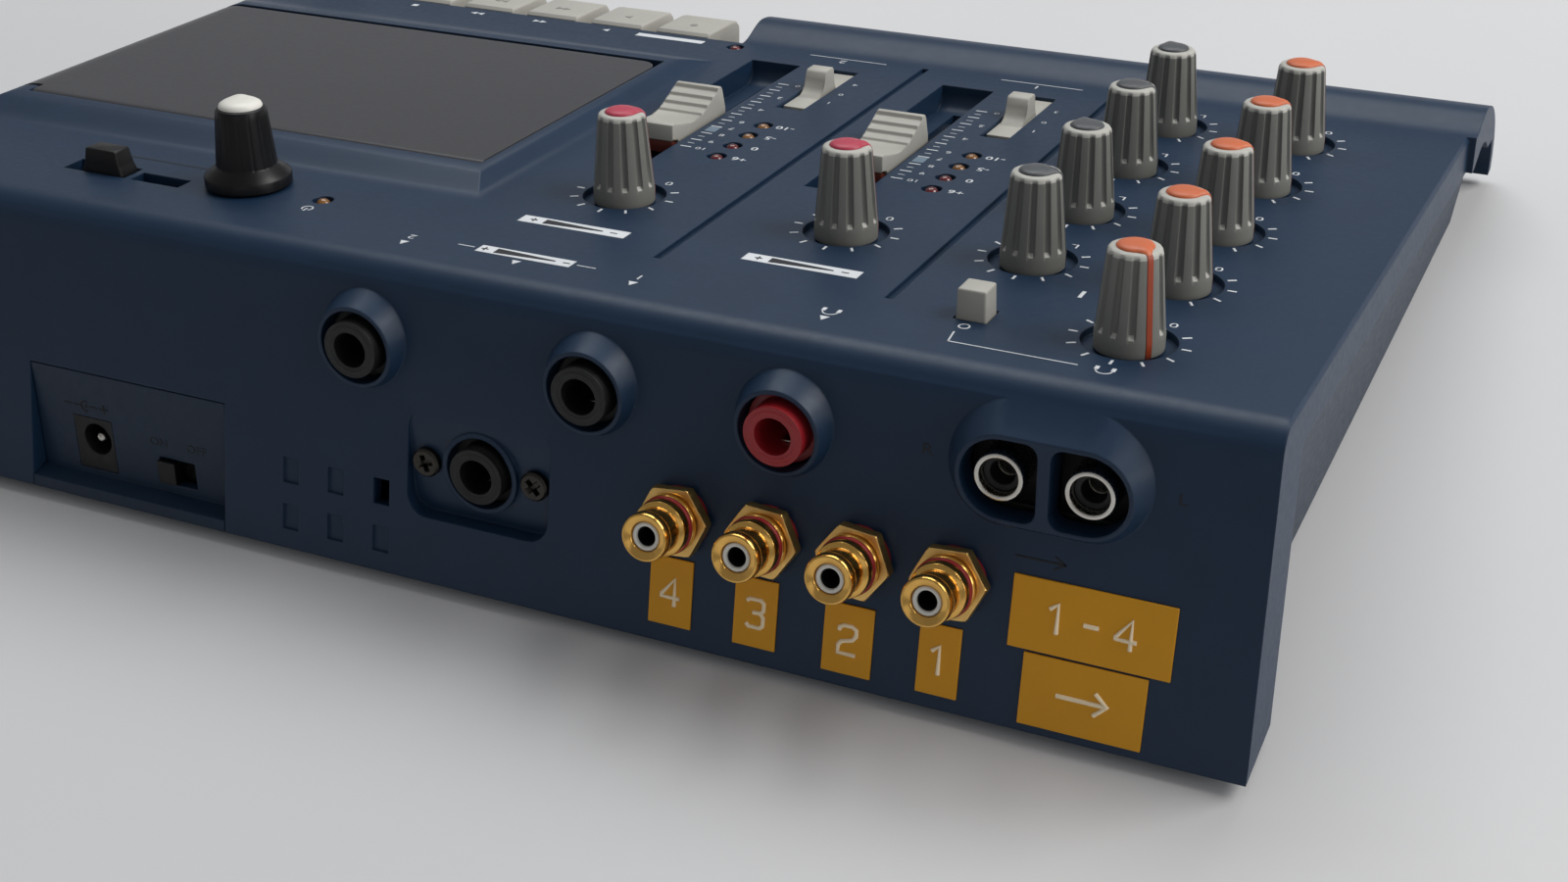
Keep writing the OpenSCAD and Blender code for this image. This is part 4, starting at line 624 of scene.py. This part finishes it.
# Mono button: a tapered square key
bm = bmesh.new()
place = at(MONO_X, MONO_V)
part = bmesh.new()
loft(part, [[(-2.7, -2.7, -2.9), (2.7, -2.7, -2.9), (2.7, 2.7, -2.9), (-2.7, 2.7, -2.9)],
            [(-2.5, -2.5, 5.2), (2.5, -2.5, 5.2), (2.5, 2.5, 5.2), (-2.5, 2.5, 5.2)]])
soften(part, 0.4, 3)
join(bm, part, place)
block(bm, (-3.6, 3.6), (-3.6, 3.6), (-3.9, -2.8), 0.1, place)
block(bm, (-1.5, 1.5), (-1.5, 1.5), (-9.4, -3.8), 0.1, place)
piece("mono_grip", bm, key_plastic, "mono", "key", stands_for=("mono_button",))

# Counter reset button, with its plate under the panel
bm = bmesh.new()
part = bmesh.new()
loft(part, [[(84.3, 0.6, -3.5), (93.8, 0.6, -3.5), (93.8, 5.5, -3.5), (84.3, 5.5, -3.5)],
            [(84.3, 0.6, 0.2), (93.8, 0.6, 0.2), (93.8, 5.5, 0.2), (84.3, 5.5, 0.2)],
            [(84.9, 0.75, 1.6), (93.2, 0.75, 1.6), (93.2, 5.35, 1.6), (84.9, 5.35, 1.6)],
            [(85.5, 0.95, 4.6), (92.7, 0.95, 4.6), (92.7, 5.15, 4.6), (85.5, 5.15, 4.6)]])
soften(part, 0.35, 3, lambda e: (e.verts[0].co.z + e.verts[1].co.z) / 2 > 0.3)
join(bm, part)
block(bm, (84.4, 99.2), (-0.5, 6.6), (-4.0, -2.8), 0.1)
block(bm, (88, 90), (2, 4), (-14, -3.9), 0.1)
piece("counter_reset_grip", bm, black, "counter_reset", "black_plastic", stands_for=("counter_button",))
bm = bmesh.new()
for i in range(3):
    letters(bm, "0", 3.0, Matrix.Translation((72.5 + 3.8 * i, 3.9, -3.06)), 0.9, 0.04)
piece("counter_digits", bm, print_white, "counter_drums", "print_white", smooth=False)

# ---- Transport keys ------------------------------------------------------------------------
KEY_LINE = [(-126.2, -8.6), (-126.2, -0.3), (-126.9, 0.4), (-139.2, 0.25), (-141.0, -0.15), (-142.1, -1.3),
            (-142.3, -2.6), (-142.0, -8.6)]
ARM_LINE = [(-126.4, -8.6), (-126.4, -5.2), (-112, -5.1), (-109.9, -6.0), (-109.1, -8.0), (-109.9, -10.0),
            (-112, -10.9), (-114.1, -10.0), (-115, -8.6)]
TRI = [(-0.9, -0.9), (0.9, 0), (-0.9, 0.9)]


def symbol(bm, kind, place, size=1.0, thick=0.05):
    """Plain transport symbols."""
    def tri(dx, flip=1):
        prism(bm, [(dx + flip * x * size, y * size) for x, y in TRI][::flip], -thick, thick, place)
    if kind == "record":
        prism(bm, [(p[0], p[1]) for p in circle(0.9 * size, 0, 24)], -thick, thick, place)
    elif kind == "play":
        tri(0)
    elif kind == "rewind":
        tri(-0.95 * size, -1)
        tri(0.95 * size, -1)
    elif kind == "forward":
        tri(-0.95 * size)
        tri(0.95 * size)
    elif kind == "stop":
        bar(bm, (-0.8 * size, 0.8 * size), (-0.8 * size, 0.8 * size), place, thick)
    else:
        for dx in (-0.65, 0.25):
            bar(bm, (dx * size, (dx + 0.4) * size), (-0.85 * size, 0.85 * size), place, thick)


KEYS = ("record", "play", "rewind", "forward", "stop", "pause")
KEY_X0, KEY_PITCH, KEY_W = 26.4, 17.4, 13.6
marks = bmesh.new()
for k, kind in enumerate(KEYS):
    x = KEY_X0 + KEY_PITCH * k + KEY_W / 2
    bm = bmesh.new()
    extruded(KEY_LINE, KEY_W, 0.5, Matrix.Translation((x, 0, 0)), bm, 3)
    extruded(ARM_LINE, 8.0, 0.15, Matrix.Translation((x, 0, 0)), bm)
    piece(f"key_{kind}_cap", bm, key_plastic, f"{kind}_key", "key", stands_for=(f"key_{kind}",))
    bm = bmesh.new()
    symbol(bm, kind, Matrix.Translation((x, -132.2, 0.33)), 1.0, 0.06)
    piece(f"key_{kind}_mark", bm, key_mark, f"{kind}_key", "key", smooth=False)
    if k:
        symbol(marks, kind, Matrix.Translation((x, -121.3, 0)), 0.95)
bar(marks, (25.2, 42.3), (-122.4, -120.2))

# ---- Legends on the panel ------------------------------------------------------------------
TICK_IN, TICK_OUT, TICK_W = 8.5, 10.1, 0.48
SCALE_END = 150     # a scale's ends, in degrees from its middle


def ticks(x, v, start, end, count, skip=()):
    for i in range(count):
        if i in skip:
            continue
        a = start + (end - start) * i / (count - 1)
        bar(marks, (-TICK_W / 2, TICK_W / 2), (TICK_IN, TICK_OUT), at(x, v, 0, a))


def dial(x, v, low, high, size=2.5):
    """Ticks round a knob, with a mark at each end."""
    ticks(x, v, -SCALE_END, SCALE_END, 11, (0, 10))
    for text, a in ((low, 152), (high, -152)):
        a = math.radians(a + 90)
        letters(marks, text, size, at(x + 10.0 * math.cos(a), v + 10.0 * math.sin(a)))


for k in range(4):
    dial(LEVEL_X, ROWS[k], "0", "10")
    dial(PAN_X, ROWS[k], "L", "R")
    letters(marks, str(k + 1), 4.0, at((LEVEL_X + PAN_X) / 2, ROWS[k] + 11.6), 1.2, bold=0.1)
dial(LEVEL_X, 0, "0", "10")
boxes = bmesh.new()
for k in range(2):
    dx = k * CHANNEL
    dial(TRIM_X + dx, TRIM_V, "0", "10")
    # Fader scale
    for i in range(11):
        v = -100.2 + 4.49 * i
        bar(marks, (-51.1 + dx, -48.7 + dx), (v - 0.2, v + 0.2))
        if i % 2 == 0 or i in (7, 9):
            letters(marks, str(i), 1.9, at(-53.3 + dx, v), 1.3)
        if i < 10:
            bar(marks, (-50.6 + dx, -49.2 + dx), (v + 2.24 - 0.12, v + 2.24 + 0.12))
    bar(boxes, (-51.1 + dx, -48.7 + dx), (-68.4, -65.3))
    for v, text in ((-73.4, "-10"), (-66.5, "-5"), (-59.5, "0"), (-52.6, "+6")):
        letters(marks, text, 2.5, at(-63.0 + dx, v), 1.2, bold=0.04)
    # White box with a plain gain wedge, and the switch positions
    x0 = -63.4 + dx
    bar(marks, (x0, x0 + 21.8), (-8.9, -5.7))
    letters(marks, str(k + 1), 2.8, at(-54.6 + dx, -120.6), 1.3)
    line(marks, [(-64 + dx, -122.6), (-46 + dx, -122.6)], 0.3)
    for text, v in (("1", -92.4), ("0", -98.6), ("3" if k == 0 else "4", -106.0)):
        letters(marks, text, 1.8, at(-64.0 + dx, v), 1.3)
bar(marks, (-16.6, 2.3), (7.2, 10.2))
for x in (-7.0, -29.9, -65.3, 16.0):
    prism(marks, [(x - 0.9, 11.2), (x + 0.9, 11.2), (x, 12.9)], -0.05, 0.05)
line(marks, [(-21.0, 8.7), (-17.6, 8.7)], 0.3)
line(marks, [(3.3, 8.7), (6.4, 8.7)], 0.3)
letters(marks, "1", 2.6, at(-29.9, 9.0), 1.3)
letters(marks, "2", 2.6, at(16.0, 9.0), 1.3)


def headphones(x, v, size):
    """Plain headphone sign."""
    place = at(x, v)
    ring(marks, 1.5 * size, 0.3 * size, place, 0, 180, steps=14)
    for s in (-1, 1):
        side = s * 1.5 * size
        bar(marks, (side - 0.4 * size, side + 0.4 * size), (-1.3 * size, 0.1 * size), place)


headphones(-65.3, 9.0, 0.9)
headphones(-113, 12.6, 0.9)
line(marks, [(-86.6, 8.4), (-87.1, 12.2), (-108.5, 12.4)], 0.3)
ring(marks, 0.9, 0.3, at(-87.3, 5.7), steps=20)
ring(marks, 1.0, 0.32, at(41.7, 4.8), 125, 415, steps=20)
bar(marks, (41.7 - 0.16, 41.7 + 0.16), (4.8, 6.2))
piece("panel_marks", marks, print_white, "case", "print_white", smooth=False)
piece("scale_boxes", boxes, print_grey, "case", "print_white", smooth=False)

# Dark wedge signs inside the white boxes
bm = bmesh.new()
for x, v in ((-52.5, -7.3), (-7.5, -7.3), (-7.2, 8.7)):
    prism(bm, [(x - 6, v - 0.2), (x + 6, v - 1.0), (x + 6, v + 1.0), (x - 6, v + 0.2)], 0.04, 0.09)
    for dx in (-8.2, 8.2):
        bar(bm, (x + dx - 0.7, x + dx + 0.7), (v - 0.15, v + 0.15), Matrix.Translation((0, 0, 0.065)), 0.025)
    bar(bm, (x + 8.05, x + 8.35), (v - 0.7, v + 0.7), Matrix.Translation((0, 0, 0.065)), 0.025)
piece("box_signs", bm, print_black, "case", "print_black", smooth=False)

# Thin dark strip beside the counter: painted shadow standing for the shaded edge of a shallow engraved step
bm = bmesh.new()
line(bm, [(70.8, -4.9), (92.7, -4.9)], 0.5, thick=0.03)
piece("counter_step_shadow", bm, print_black, "case", "print_black", smooth=False)

# ---- Jacks ---------------------------------------------------------------------------------
JACK_N, NOSE_V = -14.4, 28.5
MIC_1_X, MIC_2_X, PHONES_X, LINE_X, LINE_PITCH = -28.4, 17.2, -64, -108.9, 14.7
GUITAR_X, GUITAR_N, GUITAR_V = -6.9, -34, 28.4
NOSE = [(3.27, -3.0), (3.27, -0.5), (3.45, -0.15), (3.8, 0.05), (4.3, 0.1), (4.75, -0.05),
        (5.05, -0.4), (5.22, -0.9), (5.22, -3.0)]
RIMS = (("jack_rim_1", MIC_1_X, JACK_N, NOSE_V, deep_black, "black_plastic"),
        ("jack_rim_2", MIC_2_X, JACK_N, NOSE_V, deep_black, "black_plastic"),
        ("jack_rim_3", GUITAR_X, GUITAR_N, GUITAR_V, deep_black, "black_plastic"),
        ("phones_rim", PHONES_X, JACK_N, NOSE_V, red_plastic, "red_plastic"))
for name, x, n, v, finish, slot in RIMS:
    bm = bmesh.new()
    lathe(bm, NOSE, on_boss(x, v, n), closed=True)
    piece(name, bm, finish, "case", slot)
# Contact springs seen inside the bores
bm = bmesh.new()
for x, n in ((MIC_1_X, JACK_N), (MIC_2_X, JACK_N), (GUITAR_X, GUITAR_N), (PHONES_X, JACK_N)):
    block(bm, (-0.9, 0.9), (-3.2, -2.75), (-9.0, -5.0), 0.15, on_boss(x, NOSE_V, n))
piece("jack_springs", bm, nickel, "case", "nickel", angle=50)

# Line outputs: nickel sleeves round black inserts
bm, inner = bmesh.new(), bmesh.new()
for s in (-1, 1):
    place = on_boss(LINE_X + s * LINE_PITCH / 2, 26.3, JACK_N)
    lathe(bm, [(3.15, -6.3), (3.15, 0.1), (3.3, 0.4), (3.6, 0.5), (3.95, 0.4), (4.12, 0.1), (4.15, -0.4),
               (4.15, -6.3)], place, closed=True)
    lathe(bm, [(1.66, -8.0), (1.66, -4.8), (1.8, -4.6), (2.05, -4.8), (2.05, -8.0)], place, 32, True)
    lathe(inner, [(2.06, -6.2), (2.06, -1.6), (2.25, -1.4), (3.0, -1.4), (3.14, -1.6), (3.14, -6.2)],
          place, closed=True)
    block(inner, (-6.8, 6.8), (-8.2, 6.3), (-17.3, -6.3), 0.3, place)
piece("line_out_sleeves", bm, nickel, "case", "nickel", stands_for=("line_out_jacks",))
piece("line_out_inserts", inner, deep_black, "case", "black_plastic")

# Gold outputs: collar, red ring, neck and flanged front
TAPE_X = [-95.2 + 16.3 * k for k in range(4)]
TAPE_W = 33.8
GOLD_LINE = [(2.5, -2.0), (2.5, 11.5), (2.62, 11.9), (2.95, 12.15), (3.75, 12.4), (4.0, 12.3),
             (4.16, 12.0), (4.16, 10.6), (4.02, 10.35), (3.82, 10.25), (3.8, 7.7), (3.9, 7.45),
             (4.3, 7.35), (4.7, 7.1), (4.8, 6.7), (4.8, 5.65), (4.65, 5.5), (4.3, 5.45), (4.3, 4.55),
             (4.9, 4.5), (5.05, 4.3), (5.05, 3.75), (4.9, 3.55), (4.35, 3.5), (4.35, 3.15),
             (4.12, 3.12), (4.12, -2.0)]
bm, ring_bm, white_bm = bmesh.new(), bmesh.new(), bmesh.new()
for x in TAPE_X:
    place = on_rear(x, TAPE_W)
    lathe(bm, GOLD_LINE, place, 64, True)
    lathe(bm, [(4.12, -4.4), (6.0, -4.4), (6.0, -2.62), (4.12, -2.62)], place, 40, True)
    lathe(ring_bm, [(4.33, 4.58), (4.85, 4.62), (5.0, 4.85), (5.0, 5.2), (4.85, 5.42), (4.33, 5.44)],
          place, 64, True)
piece("tape_out_barrels", bm, gold, "case", "gold", angle=30, stands_for=("tape_out_jacks",))
piece("tape_out_rings", ring_bm, red_plastic, "case", "red_plastic")
# Hexagonal nuts with turned faces: (radius, height, share of the hexagon)
NUT_FLAT = 5.7
NUT_LINE = ((4.2, 0, 0), (6.5, 0, 1), (6.58, 0.12, 1), (6.58, 2.0, 1), (6.4, 2.2, 0.92), (5.6, 2.24, 0.5),
            (4.2, 2.2, 0))
bm = bmesh.new()
for k, x in enumerate(TAPE_X):
    place = on_rear(x, TAPE_W, 0.9) @ Matrix.Rotation(math.radians((4, -6, -3, 5)[k]), 4, "Z")
    rings = []
    for r, z, hexed in NUT_LINE:
        points = []
        for i in range(72):
            a = math.radians(i * 5)
            flat = NUT_FLAT / math.cos(math.radians((i * 5) % 60 - 30))
            reach = (1 - hexed) * min(r, 5.68) + hexed * min(flat, r)
            points.append((reach * math.cos(a), reach * math.sin(a), z))
        rings.append(points)
    loft(bm, rings, place, closed=True)
piece("tape_out_hexes", bm, gold_flat, "case", "gold", angle=25, stands_for=("tape_out_nuts",))
liners = bmesh.new()
for x in TAPE_X:
    lathe(white_bm, [(1.68, -0.5), (1.68, 11.3), (1.78, 11.6), (2.0, 11.72), (2.25, 11.68), (2.44, 11.5),
                     (2.44, -0.5)], on_rear(x, TAPE_W), 48, True)
    lathe(liners, [(1.61, -0.4), (1.61, 11.2), (1.67, 11.25), (1.67, -0.4)], on_rear(x, TAPE_W), 32, True)
piece("tape_out_cores", white_bm, white_plastic, "case", "white_plastic", stands_for=("tape_out_inserts",))
piece("tape_out_liners", liners, deep_black, "case", "black_plastic")

# DC input: centre pin
bm = bmesh.new()
lathe(bm, [(1.05, -9.0), (1.05, -1.2), (0.9, -0.75), (0.55, -0.5), (0.1, -0.42)],
      on_boss(79.1, 27.3, -44.8), 32)
piece("dc_pin", bm, nickel, "case", "nickel")


# ---- Screws --------------------------------------------------------------------------------
def cross_head(bm, r, height, place):
    """Pan head with a cross recess."""
    w, l, sink = 0.34 * r * 0.6, 0.6 * r, height * 0.75
    cross = [(w, w), (w, l), (-w, l), (-w, w), (-l, w), (-l, -w), (-w, -w), (-w, -l), (w, -l), (w, -w),
             (l, -w), (l, w)]
    part = bmesh.new()
    rim = [part.verts.new((x, y, height)) for x, y, _ in circle(r * 0.86, 0, 40)]
    hole = [part.verts.new((x, y, height)) for x, y in cross]
    floor = [part.verts.new((x * 0.6, y * 0.6, height - sink)) for x, y in cross]
    edge = [part.verts.new((x, y, height * 0.72)) for x, y, _ in circle(r, 0, 40)]
    foot = [part.verts.new((x, y, 0)) for x, y, _ in circle(r, 0, 40)]
    loops = [part.edges.new((a[i], a[(i + 1) % len(a)])) for a in (rim, hole) for i in range(len(a))]
    bmesh.ops.triangle_fill(part, use_beauty=True, edges=loops)
    for a, b in ((rim, edge), (edge, foot), (hole, floor)):
        for i in range(len(a)):
            j = (i + 1) % len(a)
            part.faces.new((a[i], a[j], b[j], b[i]))
    part.faces.new(floor)
    part.faces.new(foot)
    join(bm, part, place)


bm = bmesh.new()
for s in (-1, 1):
    place = on_boss(GUITAR_X + s * 11, 26.2, GUITAR_N) @ Matrix.Rotation(0.5 - s * 0.2, 4, "Z")
    cross_head(bm, 2.7, 1.4, place)
    lathe(bm, [(1.2, -7.0), (1.2, 0.1)], place, 24)
piece("guitar_jack_screws", bm, screw_metal, "case", "steel", angle=30, stands_for=("jack_screws",))

# ---- Tape labels ---------------------------------------------------------------------------
STROKES = {
    "1": [[(-0.25, 0.3), (0.02, 0.5), (0.02, -0.5)]],
    "2": [[(-0.32, 0.3), (-0.3, 0.42), (-0.15, 0.5), (0.15, 0.5), (0.3, 0.4), (0.3, 0.18), (0.18, 0.03),
           (-0.22, -0.08), (-0.32, -0.22), (-0.32, -0.5), (0.33, -0.5)]],
    "3": [[(-0.32, 0.42), (-0.2, 0.5), (0.2, 0.5), (0.31, 0.4), (0.31, 0.14), (0.2, 0.04), (-0.08, 0.02)],
          [(0.2, 0.02), (0.31, -0.1), (0.31, -0.4), (0.2, -0.5), (-0.2, -0.5), (-0.32, -0.4)]],
    "4": [[(0.16, -0.5), (0.16, 0.5), (-0.34, -0.12), (-0.34, -0.2), (0.36, -0.2)]],
    "-": [[(-0.25, 0), (0.25, 0)]],
    ">": [[(-0.85, 0), (0.85, 0)], [(0.42, 0.38), (0.85, 0), (0.42, -0.38)]],
}


def embossed(bm, text, place, height, pitch):
    """Raised strokes of a label press."""
    for i, sign in enumerate(text):
        dx = (i - (len(text) - 1) / 2) * pitch
        for stroke in STROKES.get(sign, []):
            curve = bpy.data.curves.new("stroke", "CURVE")
            curve.dimensions, curve.bevel_depth, curve.bevel_resolution = "3D", 0.4, 2
            curve.use_fill_caps = True
            spline = curve.splines.new("POLY")
            spline.points.add(len(stroke) - 1)
            for p, (x, y) in zip(spline.points, stroke):
                p.co = (dx + x * height, y * height, 0, 1)
            obj = bpy.data.objects.new("stroke", curve)
            scene.collection.objects.link(obj)
            graph = bpy.context.evaluated_depsgraph_get()
            mesh = bpy.data.meshes.new_from_object(obj.evaluated_get(graph))
            mesh.transform(place @ Matrix.Diagonal((1, 1, 0.75, 1)))
            bm.from_mesh(mesh)
            bpy.data.meshes.remove(mesh)
            bpy.data.objects.remove(obj)


LABELS = [(-131.5, -105.1, 30.4, "1-4", 5.6), (-128.2, -108, 42.9, ">", 0), (-97.6, -90.5, 41.8, "1", 0),
          (-82.6, -73.9, 42, "2", 0), (-65.4, -57.6, 41.2, "3", 0), (-49.7, -41.7, 41, "4", 0)]
bm, strokes = bmesh.new(), bmesh.new()
for x0, x1, w0, text, pitch in LABELS:
    place = on_rear((x0 + x1) / 2, w0 + 6.05)
    half = (x1 - x0) / 2
    block(bm, (-half, half), (-6.05, 6.05), (0.0, 0.36), 0.08, place, 1)
    embossed(strokes, text, place @ Matrix.Translation((0, 0, 0.36)), 4.9, pitch)
piece("label_strips", bm, tape, "case", "label", stands_for=("label_tags",))
piece("label_digits", strokes, tape_white, "case", "label", angle=60)

# ---- Dark legends on the rear --------------------------------------------------------------
bm = bmesh.new()
letters(bm, "R", 2.6, on_rear(-88.8, 13.6))
letters(bm, "L", 2.6, on_rear(-129.9, 13.6))
for points in ([(-4, 0), (4, 0)], [(2.4, 1.0), (4, 0), (2.4, -1.0)]):
    line(bm, points, 0.35, on_rear(-109, 27.6))
PLATE_V = 27.3
place = on_boss(81, PLATE_V, -38.2)
for x in ((-5.0, -3.4), (-2.6, -1.2), (1.2, 2.6)):
    line(bm, [(x[0], 0), (x[1], 0)], 0.35, place)
ring(bm, 1.0, 0.35, place, 60, 300)
prism(bm, [(p[0], p[1]) for p in circle(0.45, 0, 16)], -0.05, 0.05, place)
line(bm, [(3.6, 0), (5.2, 0)], 0.35, place)
line(bm, [(4.4, -0.8), (4.4, 0.8)], 0.35, place)
letters(bm, "ON", 2.4, on_boss(64.2, PLATE_V, -42.4), 1.1)
letters(bm, "OFF", 2.4, on_boss(55.4, PLATE_V, -42.4), 1.1)
piece("rear_marks", bm, print_black, "case", "print_black", smooth=False)

# ---- Floor and surroundings ----------------------------------------------------------------
bm = bmesh.new()
FLOOR_LINE = ((2600, 900), (2500, 420), (2300, 150), (2000, 20), (1700, 0), (20, 0))
loft(bm, [circle(r, z, 96) for r, z in FLOOR_LINE])
mesh = bpy.data.meshes.new("floor")
# The floor's sweep is open at its top
lid_faces = [f for f in bm.faces if len(f.verts) > 4 and f.calc_center_median().z > 800]
bmesh.ops.delete(bm, geom=lid_faces, context="FACES")
bm.to_mesh(mesh)
bm.free()
mesh.transform(WORLD)
mesh.polygons.foreach_set("use_smooth", [True] * len(mesh.polygons))
m = Nodes("floor_paper")
paper = m.mix(m.spread(m.noise(260, 2.0), 0, 1), srgb(205, 206, 208), srgb(214, 214, 215))
m.link(paper, m.shader.inputs["Base Color"])
m.link(m.spread(m.noise(3.0, 2.0), 0.55, 0.7), m.shader.inputs["Roughness"])
m.shader.inputs["Specular IOR Level"].default_value = 0.3
mesh.materials.append(m.material)
floor = bpy.data.objects.new("floor", mesh)
scene.collection.objects.link(floor)

world = bpy.data.worlds.new("studio")
scene.world = world
world.use_nodes = True
tree = world.node_tree
sky = tree.nodes["Background"]
sky.inputs["Color"].default_value = (0.86, 0.87, 0.89, 1)
sky.inputs["Strength"].default_value = 0.26
